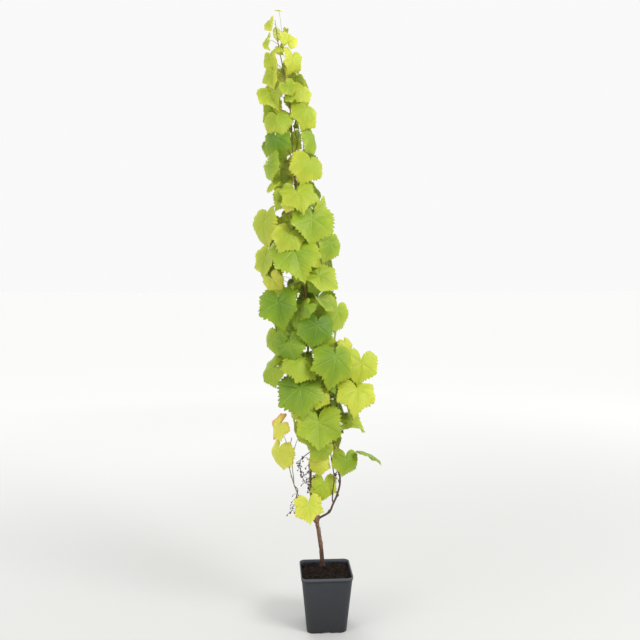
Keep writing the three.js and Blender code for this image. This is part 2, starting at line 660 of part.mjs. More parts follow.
const limbs = {};
for (const [name, limb] of Object.entries(ARMS_ON_HEAD)) limbs[name] = seatedOnHead(limb);
place('trunk', makeTrunk(Object.values(limbs)), COLOURS.bark, 0.85);
limbs.inner_arm = makeInnerArm(limbs.right_arm);
for (const [name, limb] of Object.entries(limbs)) {
  place(name, limbGeometry(limb), name === 'left_arm' ? COLOURS.green : COLOURS.cane, 0.75);
}

for (const [name, limb] of Object.entries({ trunk: TRUNK, ...limbs })) {
  const curve = limbCurve(limb);
  const path = sharesOf(4 * limb.steps).map((share) => pointOn(curve, share));
  rodsSoFar.push({ path, radius: Math.max(...limb.radii.slice(1)), owner: name });
}
growMasses(limbs).forEach((grown, i) => {
  place(grown.plan.name, massGeometry(grown), COLOURS.leaves[i % COLOURS.leaves.length], 0.6);
});

export default grapevine;
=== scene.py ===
# A young grapevine in a square nursery pot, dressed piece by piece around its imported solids.
# Lengths are in millimetres, +Z is up and -Y is the pot's front. Each piece turns to metres as it is made.

import math

import bpy
import numpy as np
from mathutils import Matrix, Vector, noise


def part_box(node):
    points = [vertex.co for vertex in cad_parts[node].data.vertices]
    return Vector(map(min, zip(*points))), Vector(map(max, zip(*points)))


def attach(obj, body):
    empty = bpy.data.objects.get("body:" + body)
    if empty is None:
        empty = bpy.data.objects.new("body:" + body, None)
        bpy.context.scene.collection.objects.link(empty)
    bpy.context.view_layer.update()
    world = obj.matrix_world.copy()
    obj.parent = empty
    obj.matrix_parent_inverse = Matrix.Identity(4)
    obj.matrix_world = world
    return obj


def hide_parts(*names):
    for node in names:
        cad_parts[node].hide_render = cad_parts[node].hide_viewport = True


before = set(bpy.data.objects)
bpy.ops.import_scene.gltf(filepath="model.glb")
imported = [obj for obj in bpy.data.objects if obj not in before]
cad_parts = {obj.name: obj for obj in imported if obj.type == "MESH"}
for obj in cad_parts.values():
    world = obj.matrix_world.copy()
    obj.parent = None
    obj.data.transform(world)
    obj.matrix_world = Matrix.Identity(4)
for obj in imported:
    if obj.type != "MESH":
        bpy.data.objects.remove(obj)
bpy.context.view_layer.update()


# ---- The pot ----
# A five-litre square nursery pot with tapered walls, a rolled lip and drainage channels across its foot.
# It is injection-moulded in one piece from dark grey polypropylene, and stands on its own flat underside.

MM = 0.001


def corners_of(cad_node):
    """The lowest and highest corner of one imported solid, in millimetres."""
    return [np.array(corner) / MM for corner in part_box(cad_node)]


pot_low, pot_high = corners_of("pot")
POT_HEIGHT = pot_high[2]
LIP_OUT = 2
LIP_HEIGHT = 13
WALL_TOP_WIDTH = pot_high[0] - pot_low[0] - 2 * LIP_OUT
BASE_WIDTH = 145
BASE_CORNER = 25
RIM_CORNER = 21
WALL = 2.4
POT_FLOOR = 9
CORNER_STEPS = 9
WALL_ROWS = 14
ROLL_STEPS = 6
FOOT_ROWS = ((0, 1.5), (0.6, 0.5), (2, 0))      # the rounded foot: each row's height and inset
LIP_ROWS = ((-0.8, 0.4), (0, 0.9), (1, 1))      # each row off the lip's foot, and its share of the way out
WALL_BOW = 0.8                          # the soft walls lean in a little between the corners
INNER_ROW = 0.8                         # of the pot's height, the one row down the inside of the wall
CHANNEL = {"width": 30, "height": 6, "from_middle": 30, "length": 56}
POT_SHARP = 35                          # degrees, and sharper edges stay crisp


def square_ring(width, corner, z, bow=0.0):
    """A square outline with rounded corners, whose sides lean in by the bow at their middles."""
    inner = width / 2 - corner
    ring = []
    for quarter in range(4):
        middle = inner * np.array([1 if quarter in (0, 3) else -1, 1 if quarter < 2 else -1])
        for step in range(CORNER_STEPS + 1):
            angle = (quarter + step / CORNER_STEPS) * math.pi / 2
            ring.append([*(middle + corner * np.array([math.cos(angle), math.sin(angle)])), z])
        out = np.array([math.cos((quarter + 1) * math.pi / 2), math.sin((quarter + 1) * math.pi / 2)])
        along = np.array([-out[1], out[0]])
        start = np.array(ring[-1][:2])
        for step in range(1, CORNER_STEPS):
            share = step / CORNER_STEPS
            lean = bow * math.sin(math.pi * share)
            ring.append([*(start + along * 2 * inner * share - out * lean), z])
    return np.array(ring)


def wall_ring(z, inset, bow=0.0):
    """The tapered wall's outline at one height, so far inside its outer face."""
    share = z / POT_HEIGHT
    width = BASE_WIDTH + (WALL_TOP_WIDTH - BASE_WIDTH) * share
    corner = BASE_CORNER + (RIM_CORNER - BASE_CORNER) * share
    return square_ring(width - 2 * inset, corner - inset, z, bow)


def skin(rings):
    """A closed surface through rings of equal count, capped at both ends, as points and faces."""
    count = len(rings[0])
    faces = [list(range(count - 1, -1, -1))]
    for row in range(len(rings) - 1):
        for i in range(count):
            a, b = row * count + i, row * count + (i + 1) % count
            faces.append([a, b, b + count, a + count])
    last = (len(rings) - 1) * count
    faces.append(list(range(last, last + count)))
    return np.concatenate(rings), faces


def joined(shapes):
    """Several (points, faces) shapes as one."""
    points, faces, before = [], [], 0
    for shape_points, shape_faces in shapes:
        points.append(shape_points)
        faces += [[before + i for i in face] for face in shape_faces]
        before += len(shape_points)
    return np.concatenate(points), faces


def smooth_shaded(mesh, sharp_degrees):
    """Shades a mesh smooth, except at edges sharper than the angle."""
    mesh.shade_smooth()
    mesh.set_sharp_from_angle(angle=math.radians(sharp_degrees))


def new_piece(name, shape, materials, sharp_degrees, face_slots=None):
    """A mesh object made from a shape in millimetres. A face's slot says which material it takes."""
    points, faces = shape
    mesh = bpy.data.meshes.new(name)
    mesh.from_pydata((np.asarray(points) * MM).tolist(), [], faces)
    for material in materials:
        mesh.materials.append(material)
    if face_slots is not None:
        mesh.polygons.foreach_set("material_index", face_slots)
    smooth_shaded(mesh, sharp_degrees)
    mesh.validate()
    piece = bpy.data.objects.new(name, mesh)
    bpy.context.scene.collection.objects.link(piece)
    return piece


def apply_modifiers(piece):
    """Turns a piece's modifiers into its own mesh."""
    evaluated = piece.evaluated_get(bpy.context.evaluated_depsgraph_get())
    made = bpy.data.meshes.new_from_object(evaluated)
    piece.modifiers.clear()
    piece.data = made
    made.name = piece.name


def linear(colour):
    """An sRGB hex colour as the linear values that a shader takes."""
    parts = [int(colour[i:i + 2], 16) / 255 for i in (1, 3, 5)]
    return [part / 12.92 if part <= 0.04045 else ((part + 0.055) / 1.055) ** 2.4 for part in parts] + [1]


def new_material(name, base_colour, **plain):
    """A material with one Principled shader, whose sockets take plain values by name."""
    material = bpy.data.materials.new(name)
    material.use_nodes = True
    shader = material.node_tree.nodes["Principled BSDF"]
    shader.inputs["Base Color"].default_value = base_colour
    for socket, value in plain.items():
        shader.inputs[socket.replace("_", " ")].default_value = value
    return material


def node(material, kind, settings=None, inputs=None):
    """Adds a node. An input takes a plain value, or another node's socket to link from."""
    tree = material.node_tree
    made = tree.nodes.new("ShaderNode" + kind)
    for name, value in (settings or {}).items():
        setattr(made, name, value)
    for name, value in (inputs or {}).items():
        if isinstance(value, bpy.types.NodeSocket):
            tree.links.new(value, made.inputs[name])
        else:
            made.inputs[name].default_value = value
    return made


def drive(material, socket, source):
    """Links a node's socket into the material's shader."""
    shader = material.node_tree.nodes["Principled BSDF"]
    material.node_tree.links.new(source, shader.inputs[socket])


def per_mm(size):
    """The texture scale at which a pattern in metres repeats once in so many millimetres."""
    return 1 / (size * MM)


# Moulded polypropylene: a soft sheen over a fine grain, mottled and darker towards the foot of the walls.
# The lip band is painted paler as a painted highlight, but stained dark on top by potting mix, and a
# painted shadow darkens the wall under it. The mould's grain is about 0.3 mm, drawn here at 1.5 mm so that it
# shows.
polypropylene = new_material("moulded_polypropylene", linear("#2f3237"), Roughness=0.42, IOR=1.49,
                             Specular_IOR_Level=0.45)
where = node(polypropylene, "TexCoord")
place = where.outputs["Object"]
height = node(polypropylene, "SeparateXYZ", inputs={"Vector": place}).outputs["Z"]
faces_up = node(polypropylene, "SeparateXYZ", inputs={"Vector": where.outputs["Normal"]}).outputs["Z"]
clouds = node(polypropylene, "TexNoise", inputs={
    "Vector": place, "Scale": per_mm(45), "Detail": 6, "Roughness": 0.62})
lip_foot = POT_HEIGHT - LIP_HEIGHT
# Each mask follows the height or the way the surface faces: where it starts, where it is full, its most.
# A painted shadow darkens the wall under the lip's foot, and a painted highlight makes the lip band paler.
darker_to_foot, painted_shadow_under_lip, painted_highlight_on_lip, lip_top = (
    node(polypropylene, "MapRange", inputs={
        "Value": follows, "From Min": start, "From Max": full, "To Max": most})
    for follows, start, full, most in ((height, POT_HEIGHT * MM, 0.0, 1.1),
                                       (height, (lip_foot - 7) * MM, (lip_foot + 1) * MM, 0.75),
                                       (height, (lip_foot + 2) * MM, (lip_foot + 7) * MM, 0.8),
                                       (faces_up, 0.45, 0.9, 0.85)))
# The walls are darker towards the foot, in clouds.
mottled_darker_to_foot = node(polypropylene, "Math", {"operation": "MULTIPLY"}, {
    0: darker_to_foot.outputs[0], 1: clouds.outputs[0]})
pot_colour = linear("#1f2226")
for cover, colour in ((clouds, "#32363c"), (mottled_darker_to_foot, "#191817"), (painted_shadow_under_lip, "#15171a"),
                      (painted_highlight_on_lip, "#4d525a"), (lip_top, "#1b1b1c")):
    coat = node(polypropylene, "Mix", {"data_type": "RGBA"}, {
        "Factor": cover.outputs[0], 6: pot_colour, 7: linear(colour)})
    pot_colour = coat.outputs[2]
drive(polypropylene, "Base Color", pot_colour)
rough = node(polypropylene, "MapRange", inputs={"Value": clouds.outputs[0], "To Min": 0.36, "To Max": 0.56})
drive(polypropylene, "Roughness", rough.outputs[0])
grain = node(polypropylene, "TexNoise", inputs={"Vector": place, "Scale": per_mm(1.5), "Detail": 2})
moulded = node(polypropylene, "Bump", inputs={
    "Height": grain.outputs[0], "Strength": 0.18, "Distance": 0.4 * MM})
drive(polypropylene, "Normal", moulded.outputs[0])

rows = [wall_ring(z, inset) for z, inset in FOOT_ROWS]
foot_top = FOOT_ROWS[-1][0]
for row in range(1, WALL_ROWS + 1):
    wall_z = foot_top + (lip_foot - LIP_OUT - foot_top) * row / WALL_ROWS
    rows.append(wall_ring(wall_z, 0, WALL_BOW * math.sin(math.pi * row / (WALL_ROWS + 1))))
rows += [wall_ring(lip_foot + rise, -out * LIP_OUT) for rise, out in LIP_ROWS]
turns = [math.pi / 2 * step / ROLL_STEPS for step in range(ROLL_STEPS + 1)]
rows += [wall_ring(POT_HEIGHT - LIP_OUT + LIP_OUT * math.sin(turn), -LIP_OUT + LIP_OUT * (1 - math.cos(turn)))
         for turn in turns]
rows += [wall_ring(POT_HEIGHT - LIP_OUT * (1 - math.cos(turn)), WALL * math.sin(turn)) for turn in turns[1:]]
rows += [wall_ring(POT_HEIGHT * INNER_ROW, WALL), wall_ring(POT_FLOOR, WALL)]
pot = new_piece("pot_shell", skin(rows), [polypropylene], POT_SHARP)

reach = CHANNEL["from_middle"] + CHANNEL["length"] / 2
for side in range(4):
    bpy.ops.mesh.primitive_cube_add(size=1)
    channel = bpy.context.object
    channel.scale = [CHANNEL["length"] * MM, CHANNEL["width"] * MM, 2 * CHANNEL["height"] * MM]
    turn = side * math.pi / 2
    channel.rotation_euler = [0, 0, turn]
    channel.location = [reach * MM * math.cos(turn), reach * MM * math.sin(turn), 0]
    cut = pot.modifiers.new("channel", "BOOLEAN")
    cut.operation = "DIFFERENCE"
    cut.object = channel
    apply_modifiers(pot)
    bpy.data.objects.remove(channel)
smooth_shaded(pot.data, POT_SHARP)
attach(pot, "root")
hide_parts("pot")


# ---- The potting mix ----
# Moist peat and bark fines, pressed in by hand and settled a little below the rim. Its top is crumbly,
# with loose crumbs and shreds of composted bark, and it banks up slightly round the stem's foot.

SOIL_TOP = corners_of("potting_soil")[1][2]
SOIL_RINGS = 30
SOIL_EDGE_DROP = 3                      # how far the mix has settled along the walls
LUMP_SPREADS = (26, 11, 5)              # how far apart its lumps are, from the widest to the finest
LUMP_RISE = 5 / 16                      # a lump's rise, for each millimetre of its spread
STEM_FOOT = np.array([-8, 59])
BANK = {"height": 3.5, "reach": 18}     # round the stem's foot
GROUND_GAP = 0.3                        # keeps the mix off the pot, and each limb off what carries it
CRUMBS = 520
CRUMB_SIZES = (1.2, 4.2)
CRUMB_ROOM = 8                          # how far the crumbs stay off the walls
CRUMB_LEVELS = ((-0.8, 0.45), (-0.25, 0.95), (0.35, 0.85), (0.8, 0.4))      # each row's height and reach

# Moist peat is matt and nearly black, with browner fibres a few millimetres long.
moist_peat = new_material("moist_peat_mix", linear("#1f150f"), Roughness=0.93, Specular_IOR_Level=0.12)
place = node(moist_peat, "TexCoord").outputs["Object"]
fibres = node(moist_peat, "TexNoise", inputs={
    "Vector": place, "Scale": per_mm(5), "Detail": 8, "Roughness": 0.7})
dried = node(moist_peat, "MapRange", inputs={"Value": fibres.outputs[0], "From Min": 0.35, "From Max": 0.75})
peat = node(moist_peat, "Mix", {"data_type": "RGBA"}, {
    "Factor": dried.outputs[0], 6: linear("#0c0806"), 7: linear("#261a13")})
drive(moist_peat, "Base Color", peat.outputs[2])
crumbly = node(moist_peat, "Bump", inputs={
    "Height": fibres.outputs[0], "Strength": 0.8, "Distance": 1.5 * MM})
drive(moist_peat, "Normal", crumbly.outputs[0])


def soil_height(x, y):
    """The crumbly top at one place: lumps of three sizes, and a low bank round the stem's foot."""
    lumps = sum(noise.noise(Vector((x, y, 7)) / spread) * spread for spread in LUMP_SPREADS)
    from_stem = np.hypot(x - STEM_FOOT[0], y - STEM_FOOT[1])
    return LUMP_RISE * lumps + BANK["height"] * math.exp(-(from_stem / BANK["reach"]) ** 2)


inset = WALL + GROUND_GAP
edge_z = SOIL_TOP - SOIL_EDGE_DROP
rows = [wall_ring(z, inset) for z in (POT_FLOOR + GROUND_GAP, SOIL_TOP / 2, edge_z)]
edge = rows[-1]
for ring in range(1, SOIL_RINGS):
    share = 1 - ring / SOIL_RINGS
    row = edge * [share, share, 1]
    ease = min(1.0, 6 * (1 - share))
    row[:, 2] = [edge_z + ease * (SOIL_EDGE_DROP + soil_height(x, y)) for x, y in row[:, :2]]
    rows.append(row)
soil = new_piece("potting_mix", skin(rows), [moist_peat], 180)
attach(soil, "root")
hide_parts("potting_soil")


def crumb(middle, size, seed):
    """A small rough crumb: four rows of five points, each pushed in or out."""
    chance = np.random.default_rng(seed)
    rings = []
    for level, reach in CRUMB_LEVELS:
        turn = chance.uniform(0, 6.3)
        angles = turn + np.arange(5) * 2 * math.pi / 5
        spread = reach * size * chance.uniform(0.75, 1.25, 5)
        rings.append(np.stack([spread * np.cos(angles), spread * np.sin(angles),
                               np.full(5, level * size * chance.uniform(0.6, 0.9))], 1) + middle)
    return skin(rings)


# Composted bark is dull, dark brown and pitted.
composted_bark = new_material("composted_bark_crumbs", linear("#1d130d"), Roughness=0.95,
                              Specular_IOR_Level=0.12)
place = node(composted_bark, "TexCoord").outputs["Object"]
flecks = node(composted_bark, "TexNoise", inputs={"Vector": place, "Scale": per_mm(2), "Detail": 4})
pitted = node(composted_bark, "Bump", inputs={
    "Height": flecks.outputs[0], "Strength": 0.7, "Distance": 0.6 * MM})
drive(composted_bark, "Normal", pitted.outputs[0])
chance = np.random.default_rng(11)
crumbs = []
room = WALL_TOP_WIDTH / 2 - WALL - CRUMB_ROOM
for number in range(CRUMBS):
    x, y = chance.uniform(-room, room, 2)
    size = chance.uniform(*CRUMB_SIZES) ** 1.3 / 1.3
    crumbs.append(crumb(np.array([x, y, SOIL_TOP + soil_height(x, y) + size * 0.2]), size, 1000 + number))
loose_crumbs = new_piece("potting_mix_crumbs", joined(crumbs), [composted_bark], 60)
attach(loose_crumbs, "root")


# ---- The trunk ----
# A three-year-old vine stem as thick as a thumb, leaning from the middle of the back to a knobby head
# where each year's canes were cut back to stubs. Its grey-brown bark splits and peels in long shreds.

GROUND = SOIL_TOP + GROUND_GAP
HEAD = np.array([-33.0, 22, 388])
HEAD_RADIUS = 12
SPUR = {"length": 17, "grown": 1.06, "collar": 1.15}     # an arm's stub, and how far it and the arm swell
TRUNK = {"points": [[-8, 59, GROUND], [-10, 56, 225], [-16, 47, 283], [-25, 32, 346], HEAD],
         "radii": [10.5, 7.6, 6.7, 6.4, 7.5], "steps": 12}
ARMS_ON_HEAD = {
    "leader": {
        "points": [[-47, 17, 440], [-54, 13, 510], [-55, 11, 590], [-50, 9, 691], [-60, 10, 838],
                   [-64, 10, 1022], [-74, 11, 1204], [-92, 12, 1420], [-106, 13, 1563],
                   [-120, 14, 1776], [-127, 14, 1882], [-151, 12, 2021], [-169, 13, 2114],
                   [-180, 14, 2196]],
        "radii": [4.8, 4.6, 4.5, 4.4, 4.2, 4, 3.7, 3.4, 3.1, 2.7, 2.4, 1.9, 1.5, 0.9], "steps": 28},
    "right_arm": {
        "points": [[13, 4, 422], [27, -6, 456], [41, -15, 493], [50, -21, 534], [48, -21, 575],
                   [36, -16, 622], [26, -10, 680], [16, -1, 839], [0, 16, 1000], [-22, 30, 1160]],
        "radii": [3.9, 3.8, 3.7, 3.5, 3.4, 3.2, 3, 2.7, 2.2, 1.4], "steps": 20},
    "left_arm": {
        "points": [[-60, 10, 424], [-90, 4, 466], [-114, 4, 520], [-133, 6, 590], [-136, 8, 640],
                   [-124, 10, 700]],
        "radii": [2.2, 1.9, 1.7, 1.6, 1.5, 1.3], "steps": 16},
}
TRUNK_SIDES = 40
TRUNK_STEP = 2.0
FLARE = {"out": 2.2, "height": 9}       # the stem widens into the soil
KNOB = {"rows": 13, "sides": 24, "end": 1.4, "depth": 0.95, "height": 1.15}
STUB = {"rows": 6, "sides": 20}
# Two stubs stand on the head where older canes were cut off short: each one's face, rise and length.
PRUNED_STUBS = ((-150, 0.5, 19), (100, 1.6, 20))
PRUNED_RADII = [5.2, 4.4, 3.8, 3.9, 3.2]
BARK_VOXEL = 0.9
BARK_RIDGE = 1.0                        # how far the bark's ridges stand above its splits
RIDGE_WIDTH = 2.6
RIDGE_STRETCH = 7                       # a ridge's length, for each millimetre of its width
BURR_WIDTH = 14
SHREDS = {"count": 26, "foot": (0.04, 0.62), "length": (0.12, 0.3), "face": (0, 360), "width": (1.6, 3.4),
          "lift": (0.6, 4)}
SHRED_STEPS = 12
SHRED_HALF_THICKNESS = 0.3
SHRED_TWIST = 24


def unit(vector):
    """The vector at a length of one."""
    return vector / np.linalg.norm(vector)


def curve_points(points, shares):
    """Points on a smooth curve through the given ones, spaced evenly from one to the next."""
    points = np.asarray(points, float)
    last = len(points) - 1
    ends = np.concatenate([[2 * points[0] - points[1]], points, [2 * points[last] - points[last - 1]]])
    place = np.asarray(shares, float) * last
    index = np.minimum(np.floor(place).astype(int), last - 1)
    t = (place - index)[:, None]
    p0, p1, p2, p3 = (ends[index + k] for k in range(4))
    into, out_of = (p2 - p0) / 2, (p3 - p1) / 2
    return (p1 + into * t + (3 * (p2 - p1) - 2 * into - out_of) * t ** 2
            + (2 * (p1 - p2) + into + out_of) * t ** 3)


def radius_on(limb, share):
    """A limb's radius, part of the way along it."""
    return np.interp(share * (len(limb["radii"]) - 1), range(len(limb["radii"])), limb["radii"])


def outward(face):
    """The level direction that looks so many degrees round from the front."""
    return np.array([math.sin(math.radians(face)), -math.cos(math.radians(face)), 0.0])


def frames_along(path):
    """At each point of a path, its direction and two directions across it that turn as little as can be."""
    along = np.gradient(path, axis=0)
    along /= np.linalg.norm(along, axis=1)[:, None]
    across = np.array([0.0, 1, 0]) if abs(along[0][1]) < 0.9 else np.array([1.0, 0, 0])
    firsts = []
    for direction in along:
        across = unit(across - direction * np.dot(direction, across))
        firsts.append(across)
    firsts = np.array(firsts)
    return along, firsts, np.cross(along, firsts)


def tube(path, radii, sides):
    """A round closed tube along a path. The radii are one number a ring, or one a point."""
    path = np.asarray(path, float)
    _, first, second = frames_along(path)
    angles = 2 * math.pi * np.arange(sides) / sides
    radii = np.asarray(radii, float).reshape(len(path), -1, 1)
    spread = first[:, None] * np.cos(angles)[:, None] + second[:, None] * np.sin(angles)[:, None]
    return skin(list(path[:, None] + radii * spread))


def even_shares(points, step):
    """Shares of a curve that lie about a step apart."""
    length = np.linalg.norm(np.diff(curve_points(points, np.linspace(0, 1, 200)), axis=0), axis=1).sum()
    return np.linspace(0, 1, max(int(length / step), 3) + 1)


def seated_on_head(limb):
    """An arm of the head, with its root just clear of the stub that points at it."""
    to_arm = unit(np.array(limb["points"][0]) - HEAD)
    foot = HEAD + to_arm * (SPUR["length"] + GROUND_GAP)
    return {**limb, "to_arm": to_arm, "points": [foot, *limb["points"]],
            "radii": [limb["radii"][0] * SPUR["grown"], *limb["radii"]]}


limbs = {name: seated_on_head(limb) for name, limb in ARMS_ON_HEAD.items()}

# Old vine bark is dry and matt. Its weathered shreds are pale grey-brown, and the splits between them
# show the darker, redder bark below. The shreds are 2 to 4 mm wide and many times as long. The stem is
# darker towards its foot.
old_bark = new_material("shredding_vine_bark", linear("#83644f"), Roughness=0.9, Specular_IOR_Level=0.25)
place = node(old_bark, "TexCoord").outputs["Object"]
stretched = node(old_bark, "Mapping", inputs={"Vector": place, "Scale": (1, 1, 0.12)})
fibre = node(old_bark, "TexNoise", inputs={
    "Vector": stretched.outputs[0], "Scale": per_mm(2.6), "Detail": 6, "Roughness": 0.6})
patches = node(old_bark, "TexNoise", inputs={"Vector": place, "Scale": per_mm(22), "Detail": 3})
lit = node(old_bark, "MapRange", inputs={"Value": fibre.outputs[0], "From Min": 0.36, "From Max": 0.66})
weathered = node(old_bark, "Mix", {"data_type": "RGBA"}, {
    "Factor": patches.outputs[0], 6: linear("#84604c"), 7: linear("#ab8f7c")})
bark_colour = node(old_bark, "Mix", {"data_type": "RGBA"}, {
    "Factor": lit.outputs[0], 6: linear("#4b3026"), 7: weathered.outputs[2]})
height = node(old_bark, "SeparateXYZ", inputs={"Vector": place}).outputs["Z"]
# The bark is darker towards the foot of the stem.
bark_darker_to_foot = node(old_bark, "MapRange", inputs={
    "Value": height, "From Min": (SOIL_TOP + 110) * MM, "From Max": (SOIL_TOP + 8) * MM, "To Max": 0.85})
bark_darkened_to_foot = node(old_bark, "Mix", {"data_type": "RGBA"}, {
    "Factor": bark_darker_to_foot.outputs[0], 6: bark_colour.outputs[2], 7: linear("#2a211b")})
drive(old_bark, "Base Color", bark_darkened_to_foot.outputs[2])
split = node(old_bark, "Bump", inputs={"Height": fibre.outputs[0], "Strength": 0.9, "Distance": 0.8 * MM})
drive(old_bark, "Normal", split.outputs[0])


def bark_height(x, y, z):
    """How far the bark stands out at one place: ridges that run up the stem, finer ones, and burrs."""
    up = z / (RIDGE_WIDTH * RIDGE_STRETCH)
    ridges = noise.noise(Vector((x / RIDGE_WIDTH, y / RIDGE_WIDTH, up + 3)))
    fine = noise.noise(Vector((x / RIDGE_WIDTH * 2.3, y / RIDGE_WIDTH * 2.3, up * 2 + 12)))
    burrs = max(0.0, noise.noise(Vector((x / BURR_WIDTH, y / BURR_WIDTH, z / BURR_WIDTH + 33))))
    return BARK_RIDGE * (0.8 * ridges + 0.45 * fine + 1.4 * burrs)


shares = even_shares(TRUNK["points"], TRUNK_STEP)
path = curve_points(TRUNK["points"], shares)
flare = FLARE["out"] * np.exp(-(path[:, 2] - GROUND) / FLARE["height"])
wood = [tube(path, radius_on(TRUNK, shares) + flare, TRUNK_SIDES)]
angles = np.linspace(0, 2 * math.pi, KNOB["sides"], False)
waist = np.stack([np.cos(angles), KNOB["depth"] * np.sin(angles), 0 * angles], 1)
wood.append(skin([HEAD + HEAD_RADIUS * (math.cos(level) * waist + [0, 0, KNOB["height"] * math.sin(level)])
                  for level in np.linspace(-KNOB["end"], KNOB["end"], KNOB["rows"])]))
for arm in limbs.values():
    along_stub = np.linspace(0, SPUR["length"], STUB["rows"])[:, None] * arm["to_arm"]
    collar = (SPUR["collar"] - 1) * np.sin(np.linspace(0, math.pi, STUB["rows"]))
    wood.append(tube(HEAD + along_stub, arm["radii"][0] * (1 + collar), STUB["sides"]))
for face, rise, length in PRUNED_STUBS:
    along_stub = np.linspace(0, length, len(PRUNED_RADII))[:, None] * unit(outward(face) + [0, 0, rise])
    wood.append(tube(HEAD + along_stub, PRUNED_RADII, STUB["sides"] - 4))
trunk = new_piece("trunk_bark", joined(wood), [old_bark], 180)
remesh = trunk.modifiers.new("one skin", "REMESH")
remesh.mode = "VOXEL"
remesh.voxel_size = BARK_VOXEL * MM
remesh.use_smooth_shade = True
smooth = trunk.modifiers.new("grown together", "SMOOTH")
smooth.iterations = 4
apply_modifiers(trunk)
points, normals = np.empty((2, 3 * len(trunk.data.vertices)))
trunk.data.vertices.foreach_get("co", points)
trunk.data.vertices.foreach_get("normal", normals)
heights = [bark_height(x, y, z) * MM for x, y, z in points.reshape(-1, 3) / MM]
trunk.data.vertices.foreach_set("co", points + np.repeat(heights, 3) * normals)
trunk.data.update()
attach(trunk, "root")
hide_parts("trunk")


def bark_shred(foot, length, face, width, lift):
    """A shred of bark that follows the stem and curls away from it at its free end."""
    rings = []
    for share in np.linspace(0, 1, SHRED_STEPS):
        out = outward(face + SHRED_TWIST * share)
        side = np.array([-out[1], out[0], 0]) * width / 2 * (1 - 0.75 * share ** 2)
        thick = out * SHRED_HALF_THICKNESS
        off = radius_on(TRUNK, foot + length * share) + 0.5 + lift * share ** 3
        middle = curve_points(TRUNK["points"], [foot + length * share])[0] + out * off
        rings.append(middle + np.array([-side - thick, side - thick, side + thick, thick - side]))
    return skin(rings)


chance = np.random.default_rng(5)
shreds = [bark_shred(*(chance.uniform(*SHREDS[part]) for part in ("foot", "length", "face", "width", "lift")))
          for _ in range(SHREDS["count"])]
loose_bark = new_piece("trunk_bark_shreds", joined(shreds), [old_bark], 50)
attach(loose_bark, "root")


# ---- The canes ----
# Last year's shoots, ripened to wood: a tall leader, the right arm with a second cane from its elbow,
# and a thin arm at the left that is still green. Each is jointed, with a swollen node and a bud.

INNER_ARM = {"from": 468, "face": -40,
             "rise": [[24, -26, 510], [28, -34, 560], [20, -32, 620], [10, -26, 700]],
             "radii": [2.6, 2.4, 2.2, 2, 1.8, 1.6], "steps": 12}
SHOOT_RISE = 0.35                       # how far a shoot climbs for each millimetre that it leaves its limb
SHOOT_NECK = 9                          # its first straight stretch, out of the limb
CANE_STEP = 2.4
CANE_JOINTS = {"apart": 68, "swelling": 0.42, "length": 4.5, "zigzag": 1.1}
FIRST_FACE = 205                        # the side of the first joint's bud, the next one faces away from it
BUD = {"length": 7, "width": 2.6, "thick_cane": 4, "largest": 1.2, "sides": 10}
BUD_ROWS = np.array([0.7, 1, 0.98, 0.8, 0.5, 0.12])     # of its width, from its foot to its point
GREEN_TIP = (1830, 2120)                # heights between which the vine's growing tip turns green


def share_at_height(points, wanted):
    """How far along a rising limb its middle reaches a height."""
    low, high = 0.0, 1.0
    for _ in range(40):
        middle = (low + high) / 2
        if curve_points(points, [middle])[0][2] < wanted:
            low = middle
        else:
            high = middle
    return low


def shoot_start(limb, wanted, face, radius):
    """Where a shoot grows out of a limb at a height, just clear of its bark, and the ways out and along."""
    share = share_at_height(limb["points"], wanted)
    out = outward(face)
    off = radius_on(limb, share) + GROUND_GAP + radius * SHOOT_RISE
    return curve_points(limb["points"], [share])[0] + out * off, out, unit(out + [0, 0, SHOOT_RISE])


def run_along(path):
    """How far along a path each of its points is, in millimetres."""
    return np.concatenate([[0], np.cumsum(np.linalg.norm(np.diff(path, axis=0), axis=1))])


def jointed_cane(limb, first_joint, apart, sides):
    """A cane that swells at every joint and bends a little there, with a bud on alternate sides. The
    joints aren't quite evenly spaced, and the buds wander a little round the cane."""
    shares = even_shares(limb["points"], CANE_STEP)
    path = curve_points(limb["points"], shares)
    run = run_along(path)
    radii = radius_on(limb, shares)
    buds = []
    for number, at in enumerate(np.arange(first_joint, run[-1] - apart / 3, apart)):
        wobble = apart * 0.12 * math.sin(number * 2.4)
        near = np.exp(-((run - at - wobble) / CANE_JOINTS["length"]) ** 2)
        radii = radii * (1 + CANE_JOINTS["swelling"] * near)
        side = outward(FIRST_FACE + 180 * number + 20 * math.sin(number))
        path = path + CANE_JOINTS["zigzag"] * near[:, None] * side
        k = int(np.argmax(near))
        bud_up = unit(side * 0.7 + unit(path[min(k + 1, len(path) - 1)] - path[k - 1]))
        scale = min(radii[k] / BUD["thick_cane"], BUD["largest"])
        bud_run = np.linspace(0, BUD["length"] * scale, len(BUD_ROWS))[:, None]
        bud_path = path[k] + side * radii[k] * 0.55 + bud_run * bud_up
        buds.append(tube(bud_path, BUD["width"] * scale * BUD_ROWS, BUD["sides"]))
    return joined([tube(path, radii, sides), *buds])


